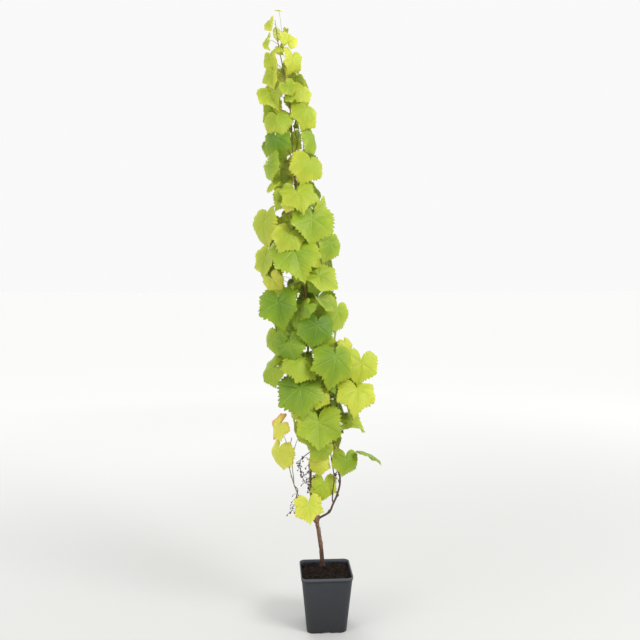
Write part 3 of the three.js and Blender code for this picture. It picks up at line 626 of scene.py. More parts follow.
def cane_material(name, low_colour, high_colour, ripe_from, ripe_to, streak):
    """Ripened cane turns from one colour to another up its length, with fine fibres that run along it.
    They are about 0.3 mm wide, drawn here at 1.4 mm so that they show."""
    made = new_material(name, linear(low_colour), Roughness=0.6, Specular_IOR_Level=0.4)
    place = node(made, "TexCoord").outputs["Object"]
    height = node(made, "SeparateXYZ", inputs={"Vector": place}).outputs["Z"]
    up = node(made, "MapRange", inputs={
        "Value": height, "From Min": ripe_from * MM, "From Max": ripe_to * MM})
    ripe = node(made, "Mix", {"data_type": "RGBA"}, {
        "Factor": up.outputs[0], 6: linear(low_colour), 7: linear(high_colour)})
    near_tip = node(made, "MapRange", inputs={
        "Value": height, "From Min": GREEN_TIP[0] * MM, "From Max": GREEN_TIP[1] * MM})
    growing = node(made, "Mix", {"data_type": "RGBA"}, {
        "Factor": near_tip.outputs[0], 6: ripe.outputs[2], 7: linear("#858244")})
    stretched = node(made, "Mapping", inputs={"Vector": place, "Scale": (1, 1, 0.07)})
    grain = node(made, "TexNoise", inputs={"Vector": stretched.outputs[0], "Scale": per_mm(1.4), "Detail": 4})
    line = node(made, "MapRange", inputs={
        "Value": grain.outputs[0], "From Min": 0.4, "From Max": 0.62, "To Max": 0.55})
    streaked = node(made, "Mix", {"data_type": "RGBA"}, {
        "Factor": line.outputs[0], 6: growing.outputs[2], 7: linear(streak)})
    drive(made, "Base Color", streaked.outputs[2])
    ribs = node(made, "Bump", inputs={"Height": grain.outputs[0], "Strength": 0.55, "Distance": 0.35 * MM})
    drive(made, "Normal", ribs.outputs[0])
    return made


# Ripened cane is smooth and slightly waxy: dark red-brown where it is oldest, then tan, then green.
ripe_cane = cane_material("ripened_cane", "#82503f", "#c08a52", 620, 1700, "#6a4030")
dark_cane = cane_material("weathered_cane", "#57413a", "#8a7348", 560, 1000, "#332724")
green_cane = cane_material("green_cane", "#6f6f3c", "#858f40", 440, 640, "#525a2c")
start, _, way = shoot_start(limbs["right_arm"], INNER_ARM["from"], INNER_ARM["face"], INNER_ARM["radii"][0])
limbs["inner_arm"] = {**INNER_ARM, "points": [start, start + way * SHOOT_NECK, *INNER_ARM["rise"]]}
# Each cane's bark, its slot, and how far up it the first joint is.
CANES = {"leader": (ripe_cane, "ripe_cane", 62), "right_arm": (dark_cane, "ripe_cane", 44),
         "inner_arm": (dark_cane, "ripe_cane", 40), "left_arm": (green_cane, "green_cane", 50)}
for name, (bark, slot, first_joint) in CANES.items():
    shape = jointed_cane(limbs[name], first_joint, CANE_JOINTS["apart"], 20)
    cane = new_piece(name + "_cane", shape, [bark], 60)
    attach(cane, "root")
    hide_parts(name)


# ---- The dried bunches and the thin green shoot ----
# Flower bunches that set badly and dried where they hung, on the leader and the left arm: brown wiry
# stalks that branch every few millimetres, with shrivelled berries no bigger than peppercorns. A second
# green shoot, as thin as string, runs up beside the left arm.

# Where each bunch hangs from, and the way down its stalk.
BUNCH_STALKS = [
    [[-113, 3, 521], [-103, -12, 511], [-108, -12, 491], [-113, -12, 466], [-121, -11, 446],
     [-130, -10, 423]],
    [[-55, 6, 648], [-76, -19, 640], [-93, -23, 625], [-95, -23, 600], [-90, -23, 572], [-78, -24, 541]],
    [[-53, 5, 634], [-60, -20, 626], [-64, -28, 604], [-60, -29, 572], [-66, -28, 540], [-61, -27, 512]],
    [[45, -23, 590], [36, -28, 576], [33, -27, 560]]]
BUNCH_STALK_RADII = (1.8, 0.9)
BARE_STALK = 0.3                        # of a bunch's stalk, before its side stalks begin
SIDE_STALK = {"apart": 5, "length": (6, 22), "radius": 0.75, "droop": 0.5, "rows": 5}
BERRY = {"radius": (2.4, 4.2), "dents": 0.22, "rows": 7, "end": 1.35, "sides": 10}
SMALLER_BERRY = 0.75                    # a berry beside the one at a side stalk's end
GREEN_STRING = {"points": [[-116, 4, 522], [-118, 0, 552], [-122, 1, 590], [-119, 4, 632], [-112, 8, 668],
                           [-100, 9, 700]], "radii": [1.6, 1.5, 1.4, 1.3, 1.2, 0.9]}


def shrivelled_berry(middle, radius, seed):
    """A dried berry: a small ball, wrinkled by the way that it shrank."""
    rows = []
    for level in np.linspace(-BERRY["end"], BERRY["end"], BERRY["rows"]):
        row = []
        for face in np.linspace(0, 360, BERRY["sides"], False):
            way = math.cos(level) * outward(face) + [0, 0, math.sin(level)]
            dent = 1 - BERRY["dents"] * (1 + noise.noise(Vector(way * 2.2) + Vector((seed, 0, 0))))
            row.append(middle + radius * dent * way)
        rows.append(row)
    return skin(rows)


# Dead stalks are dull brown and stringy; the berries on them have dried nearly black, with a faint bloom.
dry_stalk = new_material("dried_bunch_stalk", linear("#5a4335"), Roughness=0.9, Specular_IOR_Level=0.2)
dry_skin = new_material("shrivelled_berry_skin", linear("#33292c"), Roughness=0.62, Specular_IOR_Level=0.4)
for dried, wrinkle, dark, pale in ((dry_stalk, 0.9, "#47342a", "#705444"),
                                   (dry_skin, 1.1, "#281f22", "#4a4044")):
    place = node(dried, "TexCoord").outputs["Object"]
    wrinkles = node(dried, "TexNoise", inputs={"Vector": place, "Scale": per_mm(wrinkle), "Detail": 4})
    lit = node(dried, "MapRange", inputs={"Value": wrinkles.outputs[0], "From Min": 0.35, "From Max": 0.7})
    faded = node(dried, "Mix", {"data_type": "RGBA"}, {
        "Factor": lit.outputs[0], 6: linear(dark), 7: linear(pale)})
    drive(dried, "Base Color", faded.outputs[2])
    wrinkled = node(dried, "Bump", inputs={
        "Height": wrinkles.outputs[0], "Strength": 0.7, "Distance": 0.3 * MM})
    drive(dried, "Normal", wrinkled.outputs[0])

chance = np.random.default_rng(21)
dry_stalks, berries = [], []
for points in BUNCH_STALKS:
    shares = even_shares(points, 3)
    path = curve_points(points, shares)
    dry_stalks.append(tube(path, np.interp(shares, [0, 1], BUNCH_STALK_RADII), 8))
    run = run_along(path)
    for at in np.arange(BARE_STALK * run[-1], run[-1], SIDE_STALK["apart"]):
        foot = np.array([np.interp(at, run, channel) for channel in path.T])
        out = outward(chance.uniform(0, 360)) + [0, 0, chance.uniform(-0.5, 0.5)]
        length = chance.uniform(*SIDE_STALK["length"])
        reach = np.linspace(0, 1, SIDE_STALK["rows"])[:, None]
        side_stalk = foot + length * (reach * unit(out) - SIDE_STALK["droop"] * reach ** 2 * [[0, 0, 1]])
        dry_stalks.append(tube(side_stalk, [SIDE_STALK["radius"]] * SIDE_STALK["rows"], 6))
        size = chance.uniform(*BERRY["radius"])
        berries.append(shrivelled_berry(side_stalk[-1] - [0, 0, 0.8 * size], size, len(berries) + 40))
        for beside in range(chance.integers(0, 3)):
            middle = side_stalk[3 - beside] + chance.uniform(-3, 3, 3)
            berries.append(shrivelled_berry(middle, SMALLER_BERRY * size, len(berries) + 90))
bunch_stalks = new_piece("dried_bunch_stalks", joined(dry_stalks), [dry_stalk], 60)
bunch_berries = new_piece("shrivelled_berries", joined(berries), [dry_skin], 60)
green_string = new_piece("thin_green_shoot", jointed_cane(GREEN_STRING, 30, 52, 10), [green_cane], 60)
for piece, slot in ((bunch_stalks, "ripe_cane"), (bunch_berries, "old_bark"), (green_string, "green_cane")):
    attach(piece, "root")


# ---- The side shoots ----
# This year's growth: 28 green side shoots, each leaving its limb through a bud and climbing beside it.
# They and their leaf stalks are soft and juicy, pinkish where the sun reaches them.

# The crown's column: its middle (x, y), half width and half depth at each height.
CROWN_ROWS = np.array([
    # height, x, y, wide, deep
    [380, -60, -20, 60, 70], [480, -50, -15, 95, 85], [600, -30, -5, 90, 95], [700, -28, 0, 94, 120],
    [790, -20, 0, 120, 138], [900, -2, 0, 186, 155], [1020, -40, 5, 164, 155],
    [1200, -84, 5, 152, 145], [1400, -106, 8, 154, 135], [1560, -112, 10, 132, 122],
    [1740, -126, 12, 108, 102], [1920, -130, 12, 102, 92], [2050, -158, 12, 74, 70],
    [2140, -170, 13, 56, 52], [2237, -180, 14, 28, 30]], float)

# Half of a plain leaf, as degrees off its tip and share of its reach, and the bay at its stalk.
LEAF_OUTLINE = [[0, 1], [30, 0.9], [60, 0.95], [88, 0.87], [116, 0.89], [148, 0.7]]
LEAF_NOTCH = 0.13
TIP_SHARE = 0.64                        # of a leaf's length, from the leaf stalk to the tip
LEAF_THICKNESS = 0.0125                 # of its length
LEAF_SHAPE = {"fold": (-0.18, 0.26), "droop": (0.12, 0.42), "wave": (0, 0.09), "phase": (0, 2 * math.pi)}
LEAF_CLEARANCE = 3.4
STALK_CLEARANCE = 1.2
STALK_RADIUS = 1.25
STALK_BEND = {"at": 0.62, "rise": 0.14}
SHOOT = {"radius": 1.9, "tip_radius": 1.2, "steps": 5, "foot": 14, "out": 17, "sway": 5}


def mass(name, limb, span, faces, leaves, leading=()):
    """A mass of foliage on one side shoot: where the shoot starts and ends, the side it stands on and
    how far round its leaves spread, how many follow the rule and how long they are, and its leading
    leaves, each [x, y, z of the blade's middle, length, face, up, roll, and a tint of its own]."""
    return {"name": name, "limb": limb, "from": span[0], "to": span[1], "face": faces[0],
            "spread": faces[1], "count": leaves[0], "length": leaves[1], "leading": leading}


MASSES = [
    mass("tip", "leader", (2040, 2150), (60, 180), (4, 42), [
        [-163, 6, 2226, 30, 20, 70, 80, 6.6], [-200, 0, 2178, 48, -58, 20, 25, 5.6],
        [-209, -4, 2112, 52, -70, 15, 14, 4.8], [-133, -8, 2128, 60, 25, 10, 170, 5.6]]),
    mass("top_front", "leader", (1886, 2020), (-20, 70), (3, 68), [
        [-200, -22, 2046, 66, -52, 10, 10, 4.6], [-118, -26, 2040, 80, 46, 5, -8, 5],
        [-192, -26, 1984, 72, -50, 15, 5, 4.4], [-194, -30, 1926, 84, -28, 25, 30, 4],
        [-84, -28, 1940, 76, 32, 30, -30, 4.6]]),
    mass("top_back", "leader", (1900, 2030), (170, 85), (7, 70)),
    mass("upper_front", "leader", (1706, 1860), (0, 60), (0, 84), [
        [-72, -50, 1862, 92, 25, 25, -15, 4], [-172, -50, 1836, 92, -18, 30, 24, 3.4],
        [-180, -58, 1758, 88, -22, 12, 6, 1.2]]),
    mass("upper_left", "leader", (1722, 1872), (-120, 58), (4, 86)),
    mass("upper_right", "leader", (1738, 1874), (120, 58), (4, 86), [
        [-48, -8, 1776, 94, 62, 15, -35, 2.8]]),
    mass("high_front", "leader", (1516, 1680), (14, 50), (3, 90), [
        [-62, -68, 1680, 108, 24, 28, -20, 4.2], [-206, -18, 1672, 100, -66, 12, 8, 3],
        [-102, -94, 1568, 112, -2, 40, 14, 3.8], [-140, -112, 1538, 46, -12, 20, -20, 6]]),
    mass("high_left", "leader", (1532, 1690), (-120, 58), (4, 96)),
    mass("high_right", "leader", (1548, 1696), (120, 58), (4, 96), [
        [-12, -28, 1522, 106, 66, 10, -6, 3.6]]),
    mass("mid_high_front", "leader", (1318, 1490), (0, 60), (4, 100), [
        [-56, -94, 1472, 134, 12, 22, -10, 2.8], [-112, -118, 1362, 146, -8, 38, 20, 2.6],
        [8, -52, 1392, 102, 46, 8, -12, 2.6]]),
    mass("mid_high_left", "leader", (1334, 1500), (-100, 52), (4, 108), [
        [-222, -18, 1458, 138, -62, 8, 6, 4.2], [-220, -14, 1342, 116, -62, 20, 5, 4],
        [-154, -40, 1484, 44, -8, 20, 30, 4.6]]),
    mass("mid_high_back", "leader", (1350, 1510), (150, 62), (5, 112)),
    mass("middle_front", "leader", (1134, 1290), (10, 60), (5, 104), [
        [-16, -68, 1284, 122, 20, 44, 52, 3.4], [-186, -66, 1272, 64, -20, 5, 40, 5.8],
        [34, -42, 1152, 118, 34, 15, -25, 3.2]]),
    mass("middle_left", "leader", (1150, 1300), (-90, 55), (5, 104), [
        [-172, -76, 1180, 132, -24, 22, 10, 1.6]]),
    mass("middle_back", "leader", (1166, 1310), (160, 65), (5, 114)),
    mass("mid_low_front", "leader", (956, 1104), (5, 60), (6, 104), [
        [-40, -110, 1104, 112, 6, 15, -10, 1], [26, -118, 990, 144, 24, 26, -12, 2.2],
        [-98, -104, 1150, 78, -10, 25, -30, 2.6], [-132, -82, 1044, 94, -24, 18, 16, 1.8]]),
    mass("mid_low_left", "leader", (972, 1114), (-90, 55), (5, 104), [
        [-188, -20, 1056, 92, -40, 15, 0, 2.8], [-204, -10, 950, 98, -44, 24, -48, 3]]),
    mass("mid_low_back", "right_arm", (962, 1100), (150, 70), (5, 114), [
        [74, -34, 1044, 52, 28, 30, 20, 5.6]]),
    mass("lower_front", "leader", (772, 926), (0, 60), (5, 104), [
        [-96, -96, 880, 146, -12, 36, 10, 1.8]]),
    mass("lower_left", "leader", (790, 940), (-110, 60), (6, 104)),
    mass("lower_right", "right_arm", (776, 920), (75, 60), (5, 110), [
        [124, -46, 962, 114, 16, 14, -8, 4.4], [106, -90, 876, 126, 16, 50, -12, 4.6]]),
    mass("lower_back", "leader", (806, 946), (170, 55), (4, 114)),
    mass("skirt_front", "inner_arm", (640, 760), (-10, 60), (4, 98), [
        [-34, -122, 756, 140, -4, 28, 0, 3], [-86, -70, 806, 88, -24, 14, 8, 4.4],
        [-34, -118, 870, 84, 4, 30, -6, 4.6]]),
    mass("skirt_right", "right_arm", (652, 750), (75, 60), (3, 88), [
        [98, -46, 764, 98, 25, 64, 76, 3.6]]),
    mass("skirt_back", "leader", (636, 776), (175, 80), (5, 104), [
        [-112, -22, 738, 84, -62, 8, 10, 4.4]]),
    mass("low_left", "left_arm", (610, 690), (-60, 60), (0, 80), [
        [-182, -6, 740, 90, -54, 26, -32, 7.2], [-178, -10, 638, 98, -46, 10, -6, 6.4]]),
    mass("low_right", "right_arm", (566, 628), (84, 60), (0, 84), [
        [68, -36, 618, 88, 15, 15, -10, 2.8], [160, -16, 640, 96, 124, 66, -31, 2]]),
    mass("low_front", "leader", (468, 600), (-15, 60), (0, 84), [
        [-24, -46, 608, 70, 0, 15, 5, 5.8], [-8, -44, 522, 88, 8, 15, -4, 4],
        [-64, -58, 458, 94, -5, 34, 8, 5.8]]),
]

LEADING = {"shifts": 12, "shift": 8, "drop": 25}        # the drop is from the blade to its stalk's foot
# What the rule draws for a leaf: its place in its turn up the shoot, and the way that it faces. It is
# shorter at each draw, and each draw starts at the crown's surface and steps inward.
RULE = {"draws": 16, "foot": 25, "place": (0.1, 0.9), "swing": (-50, 50), "up": (-8, 54), "roll": (-60, 60),
        "longest": 1.16, "shorter": 0.03, "outermost": 0.9, "steps_in": 7, "step_in": 0.09, "drop": 20}
YOUNG = {"tries": 5, "draws": 6, "face": (-180, 180), "off": (8, 38), "swing": (-40, 40), "up": (-10, 60),
         "roll": (-60, 60)}
YOUNG_LENGTHS = (16, 50)
TENDRIL = {"at": 0.9, "face": (-100, 100), "rise": (0.1, 0.8), "length": (34, 74), "points": 40,
           "radius": 1.1, "tip_radius": 0.55, "sides": 6}
TENDRIL_COIL = {"from": 0.55, "turns": 1.9, "radius": 4.2}
SEEDS = {"leading": 5000, "rule": 100, "young": 7000, "tendril": 9000, "blade": 300}


def crown_at(heights):
    """The crown's middle, half width and half depth at each height."""
    return [np.interp(heights, CROWN_ROWS[:, 0], CROWN_ROWS[:, column]) for column in (1, 2, 3, 4)]


def inside_crown(points):
    """True if all the points lie in the crown's column."""
    x, y, wide, deep = crown_at(points[:, 2])
    inside = ((points[:, 0] - x) / wide) ** 2 + ((points[:, 1] - y) / deep) ** 2 < 1
    return bool(np.all(inside & (points[:, 2] < CROWN_ROWS[-1, 0])))


def to_segments(points, starts, ends):
    """The distance from every point to every segment."""
    legs = ends - starts
    off = points[:, None] - starts
    share = np.clip((off * legs).sum(2) / (legs ** 2).sum(1), 0, 1)
    return np.linalg.norm(off - share[..., None] * legs, axis=2)


def with_planes(triangles):
    """Each triangle's three corners, followed by the vectors that give a point's place across it (two)
    and its height off it (one), so that each such measure is one product."""
    first, second = triangles[:, 1] - triangles[:, 0], triangles[:, 2] - triangles[:, 0]
    normal = np.cross(first, second)
    area = (normal ** 2).sum(1)[:, None]
    measures = [np.cross(second, normal) / area, np.cross(normal, first) / area, normal / np.sqrt(area)]
    return np.concatenate([triangles, np.stack(measures, 1)], 1)


def over_triangles(off, triangles):
    """For offsets from the triangles' first corners: over the triangle or not, and the height off it."""
    v, w, height = ((off * triangles[:, row]).sum(-1) for row in (3, 4, 5))
    return (v >= 0) & (w >= 0) & (v + w <= 1), height


def any_nearer(points, triangles, limit):
    """True if any point is nearer than the limit to a triangle."""
    inside, height = over_triangles(points[:, None] - triangles[:, 0], triangles)
    if np.any(inside & (np.abs(height) < limit)):
        return True
    sides = [to_segments(points, triangles[:, k], triangles[:, (k + 1) % 3]) for k in range(3)]
    return bool(np.any(~inside & (np.minimum.reduce(sides) < limit)))


def any_crossing(starts, ends, triangles):
    """True if any segment passes through a triangle."""
    height, end_height = (((points[:, None] - triangles[:, 0]) * triangles[:, 5]).sum(-1)
                          for points in (starts, ends))
    segment, triangle = np.nonzero((height * end_height <= 0) & (height != end_height))
    share = (height / np.where(height == end_height, 1, height - end_height))[segment, triangle]
    crossing = starts[segment] + (ends[segment] - starts[segment]) * share[:, None]
    met = triangles[triangle]
    return bool(np.any(over_triangles(crossing - met[:, 0], met)[0]))


def points_along(path, step):
    """Points set at most a step apart along a line of points."""
    points = []
    for start, end in zip(path[:-1], path[1:]):
        count = math.ceil(np.linalg.norm(end - start) / step)
        points += [start + (end - start) * k / count for k in range(count)]
    return np.array(points + [path[-1]])


def chances(seed):
    """The same chances every time: numbers between 0 and 1 from a whole-number seed."""
    state = (seed * 7919 + 104729) % 2147483647
    while True:
        state = state * 16807 % 2147483647
        yield state / 2147483647


def drawn(chance, low, high):
    """The next chance as a number between two others."""
    return low + (high - low) * next(chance)


def lift_of(leaf, angle, radius, share=1.0):
    """How far the blade stands off its flat plane: folded on its midrib, drooping, and waved."""
    return leaf["length"] * share * (
        leaf["fold"] * np.abs(radius * np.sin(angle))
        - leaf["droop"] * radius ** 2 * np.maximum(np.cos(angle), 0.4) * share ** 0.6
        + leaf["wave"] * radius * np.sin(3 * angle + leaf["phase"]) * share ** 0.5)


def make_leaf(wish, chance):
    """A leaf's place and shape, from the middle of its blade or from the end of its stalk."""
    up, roll = math.radians(wish["up"]), math.radians(wish["roll"])
    normal = outward(wish["face"]) * math.cos(up) + np.array([0, 0, math.sin(up)])
    side = unit(np.cross([0, 0, 1], normal))
    tip = np.cross(side, normal) * math.cos(roll) + side * math.sin(roll)
    leaf = {"normal": normal, "tip": tip, "across": np.cross(normal, tip), "length": wish["length"],
            **{part: drawn(chance, *limits) for part, limits in LEAF_SHAPE.items()}}
    reach = wish["length"] * TIP_SHARE
    if "middle" in wish:
        leaf["base"] = wish["middle"] + tip * (wish["length"] / 2 - reach)
    else:
        leaf["base"] = wish["stalk_end"]
    right = [[math.radians(angle), radius] for angle, radius in LEAF_OUTLINE]
    left = [[-angle, radius] for angle, radius in right[:0:-1]]
    angle, radius = np.array(right + [[math.pi, LEAF_NOTCH]] + left).T
    out = reach * radius[:, None] * (np.cos(angle)[:, None] * tip + np.sin(angle)[:, None] * leaf["across"])
    rim = leaf["base"] + out + lift_of(leaf, angle, radius)[:, None] * normal
    base = np.broadcast_to(leaf["base"], rim.shape)
    after = np.roll(rim, -1, axis=0)
    leaf["rim"] = rim
    leaf["fan"] = with_planes(np.stack([base, rim, after], 1))
    leaf["edges"] = (np.concatenate([rim, base]), np.concatenate([after, rim]))
    leaf["probes"] = np.concatenate([[leaf["base"]], rim, (rim + base) / 2])
    return leaf


def new_rod(path, radius, owner):
    """A limb, shoot or leaf stalk to keep clear of, with points along it and the ball that it lies in."""
    path = np.array(path, float)
    middle = path.mean(0)
    return {"path": path, "radius": radius, "owner": owner, "probes": points_along(path, 6),
            "middle": middle, "half": np.linalg.norm(path - middle, axis=1).max()}


placed = []                             # leaves so far
rods = []                               # limbs, shoots and leaf stalks so far
for name, limb in {"trunk": TRUNK, **limbs}.items():
    path = curve_points(limb["points"], np.linspace(0, 1, 4 * limb["steps"] + 1))
    rods.append(new_rod(path, max(limb["radii"][1:]), name))


def leaf_and_rod_are_clear(leaf, rod):
    """True if a limb, shoot or stalk passes clear of a leaf."""
    close = rod["radius"] + LEAF_CLEARANCE - 1
    if np.linalg.norm(rod["middle"] - leaf["base"]) > rod["half"] + leaf["length"] + close:
        return True
    near = rod["probes"][np.linalg.norm(rod["probes"] - leaf["base"], axis=1) <= leaf["length"] + close]
    if len(near) and any_nearer(near, leaf["fan"], close):
        return False
    starts, ends = rod["path"][:-1], rod["path"][1:]
    reached = to_segments(leaf["base"][None], starts, ends)[0] <= leaf["length"]
    return not reached.any() or not any_crossing(starts[reached], ends[reached], leaf["fan"])


def rods_are_clear(rod, other):
    """True if two limbs, shoots or stalks pass clear of each other."""
    close = rod["radius"] + other["radius"] + STALK_CLEARANCE
    if np.linalg.norm(rod["middle"] - other["middle"]) > rod["half"] + other["half"] + 2 * close:
        return True
    return bool(np.all(to_segments(rod["fine"], other["path"][:-1], other["path"][1:]) > close))


def fits(leaf, stalk):
    """The rule for keeping apart: a leaf and its stalk touch no other leaf, stalk, shoot or limb."""
    near = [other for other in placed
            if np.linalg.norm(other["base"] - leaf["base"]) <= 0.9 * (leaf["length"] + other["length"])]
    if near:
        fans = np.concatenate([other["fan"] for other in near])
        if any_nearer(leaf["probes"], fans, LEAF_CLEARANCE):
            return False
        if any_nearer(np.concatenate([other["probes"] for other in near]), leaf["fan"], LEAF_CLEARANCE):
            return False
        if any_crossing(*leaf["edges"], fans):
            return False
        others = [np.concatenate([other["edges"][end] for other in near]) for end in (0, 1)]
        if any_crossing(*others, leaf["fan"]):
            return False
    if not all(leaf_and_rod_are_clear(other, stalk) for other in placed):
        return False
    if not all(leaf_and_rod_are_clear(leaf, rod) for rod in rods):
        return False
    stalk["fine"] = points_along(stalk["path"], 2.5)
    return all(rod["owner"] == stalk["owner"] or rods_are_clear(stalk, rod) for rod in rods)


def grow_shoot(plan, limb):
    """A side shoot: out of its limb, then up beside it, swaying a little."""
    start, out, way = shoot_start(limb, plan["from"], plan["face"], SHOOT["radius"])
    tip = np.array(limb["points"][-1], float)
    path = [start, start + way * SHOOT_NECK]
    foot = plan["from"] + SHOOT["foot"]
    for i in range(1, SHOOT["steps"] + 1):
        wanted = foot + (plan["to"] - foot) * i / SHOOT["steps"]
        if wanted < tip[2]:
            axis = curve_points(limb["points"], [share_at_height(limb["points"], wanted)])[0]
        else:
            axis = np.array([tip[0], tip[1], wanted])
        path.append(axis + out * (SHOOT["out"] + SHOOT["sway"] * math.sin(1.7 * i)))
    return new_rod(path, SHOOT["radius"], plan["name"])


def arched_stalk(root, leaf, owner):
    """A leaf stalk that leaves its shoot at a point and arches up to the underside of the blade."""
    end = leaf["base"] - leaf["normal"] * leaf["length"] * LEAF_THICKNESS / 2
    span = end - root
    bend = root + span * STALK_BEND["at"] + np.array([0, 0, np.linalg.norm(span) * STALK_BEND["rise"]])
    return new_rod([root, bend, end], STALK_RADIUS, owner)


def hang_leaf(wish, shoot, chance, drop):
    """A leaf on a stalk that leaves the shoot so far below the blade."""
    leaf = make_leaf(wish, chance)
    path = shoot["path"]
    wanted = min(max(leaf["base"][2] - drop, path[1][2] + 4), path[-1][2] - 3)
    above = int(np.argmax(path[:, 2] >= wanted))
    share = (wanted - path[above - 1][2]) / (path[above][2] - path[above - 1][2])
    root = path[above - 1] + (path[above] - path[above - 1]) * share
    return leaf, arched_stalk(root, leaf, shoot["owner"])


def leading_leaf(row, shoot, seed):
    """A leading leaf, moved back and forth until it fits."""
    x, y, z, length, face, up, roll, tint = row
    for shift in range(LEADING["shifts"]):
        back = (1 if shift % 2 else -1) * math.ceil(shift / 2) * LEADING["shift"]
        wish = {"middle": np.array([x, y + back, z], float), "length": length, "face": face,
                "up": up, "roll": roll}
        leaf, stalk = hang_leaf(wish, shoot, chances(seed), LEADING["drop"])
        if fits(leaf, stalk):
            leaf["tint"] = tint
            return leaf, stalk
    return None


def rule_leaf(plan, shoot, turn, seed):
    """The growing rule: a leaf is drawn out to the crown's surface, then moved in until it fits."""
    for draw in range(RULE["draws"]):
        chance = chances(seed * 20 + draw)
        way_up = (turn + drawn(chance, *RULE["place"])) / plan["count"]
        height = plan["from"] + RULE["foot"] + (plan["to"] - plan["from"]) * way_up
        face = plan["face"] + drawn(chance, -plan["spread"], plan["spread"])
        length = plan["length"] * (RULE["longest"] - RULE["shorter"] * draw - 0.45 * next(chance) ** 2)
        wish = {"length": length, "face": face + drawn(chance, *RULE["swing"]),
                "up": drawn(chance, *RULE["up"]), "roll": drawn(chance, *RULE["roll"])}
        outermost = RULE["outermost"] - 0.3 * next(chance) ** 2
        x, y, wide, deep = (float(value) for value in crown_at(height))
        out = outward(face)
        for step in range(RULE["steps_in"]):
            share = outermost - RULE["step_in"] * step
            wish["stalk_end"] = np.array([x + out[0] * wide * share, y + out[1] * deep * share, height])
            drop = RULE["drop"] + length * 0.15
            leaf, stalk = hang_leaf(wish, shoot, chances(seed * 20 + draw + 7), drop)
            if inside_crown(leaf["rim"]) and fits(leaf, stalk):
                return leaf, stalk
    return None


def young_leaf(plan, shoot, share, seed):
    """A young leaf on a short stalk, close beside the shoot, where there is room for it."""
    root = curve_points(shoot["path"], [share])[0]
    for draw in range(YOUNG["draws"]):
        chance = chances(seed * 20 + draw)
        face = plan["face"] + drawn(chance, *YOUNG["face"])
        off = drawn(chance, *YOUNG["off"])
        wish = {"length": np.interp(next(chance) ** 1.4, [0, 1], YOUNG_LENGTHS),
                "face": face + drawn(chance, *YOUNG["swing"]), "up": drawn(chance, *YOUNG["up"]),
                "roll": drawn(chance, *YOUNG["roll"]),
                "stalk_end": root + outward(face) * off + np.array([0, 0, off / 2])}
        leaf = make_leaf(wish, chance)
        stalk = arched_stalk(root, leaf, shoot["owner"])
        if inside_crown(leaf["rim"]) and fits(leaf, stalk):
            return leaf, stalk
    return None


def tendril(plan, shoot, seed):
    """A tendril: it reaches out and up from the shoot, and its end winds into a coil."""
    root = curve_points(shoot["path"], [TENDRIL["at"]])[0]
    t = np.linspace(0, 1, TENDRIL["points"])[:, None]
    for draw in range(YOUNG["draws"]):
        chance = chances(seed * 20 + draw)
        out = outward(plan["face"] + drawn(chance, *TENDRIL["face"]))
        rise = np.array([0, 0, drawn(chance, *TENDRIL["rise"])])
        length = drawn(chance, *TENDRIL["length"])
        wound = np.maximum(t - TENDRIL_COIL["from"], 0) / (1 - TENDRIL_COIL["from"])
        turn = 2 * math.pi * TENDRIL_COIL["turns"] * wound
        coil = TENDRIL_COIL["radius"] * wound ** 0.6 * (np.sin(turn) * out + (np.cos(turn) - 1) * unit(rise))
        path = root + length * (t - 0.3 * t ** 2) * out + length * t * rise + coil
        rod = new_rod(path, TENDRIL["radius"], shoot["owner"])
        if inside_crown(rod["path"]) and all(leaf_and_rod_are_clear(leaf, rod) for leaf in placed):
            return rod
    return None


def keep(plant, found, young=False):
    """Adds a leaf that found its place to its mass, and to what later leaves keep clear of."""
    if found:
        found[0]["young"] = young
        placed.append(found[0])
        rods.append(found[1])
        plant["leaves"].append(found)


grown = [{"plan": plan, "shoot": grow_shoot(plan, limbs[plan["limb"]]), "leaves": [], "tendrils": []}
         for plan in MASSES]
rods += [plant["shoot"] for plant in grown]
for number, plant in enumerate(grown):
    for i, row in enumerate(plant["plan"]["leading"]):
        keep(plant, leading_leaf(row, plant["shoot"], SEEDS["leading"] + number * 50 + i))
for turn_round in range(max(plan["count"] for plan in MASSES)):
    for number, plant in enumerate(grown):
        count = plant["plan"]["count"]
        if turn_round < count:
            turn = turn_round * 3 % count
            seed = SEEDS["rule"] + number * 10 + turn_round
            keep(plant, rule_leaf(plant["plan"], plant["shoot"], turn, seed))
# Young leaves and tendrils come last, in the room that the grown leaves leave.
for number, plant in enumerate(grown):
    if plant["plan"]["count"]:
        for i in range(YOUNG["tries"]):
            share = (i + 1) / YOUNG["tries"]
            seed = SEEDS["young"] + number * 50 + i
            keep(plant, young_leaf(plant["plan"], plant["shoot"], share, seed), young=True)
        coil = tendril(plant["plan"], plant["shoot"], SEEDS["tendril"] + number)
        if coil:
            plant["tendrils"].append(coil)

SHOOT_STEP = 4
JOINT = {"swelling": 0.75, "length": 4}     # where a leaf stalk leaves the shoot
BLUNT_END = 0.35
# A leaf stalk's radius where it clasps the shoot and in its middle, and how its swellings shrink upward.
STALK = {"rows": 12, "sides": 8, "foot": 1.7, "waist": 0.95, "upper_swelling": 0.45}
STALK_SIZES = (0.7, 1.1)                # against that of a leaf 100 mm long

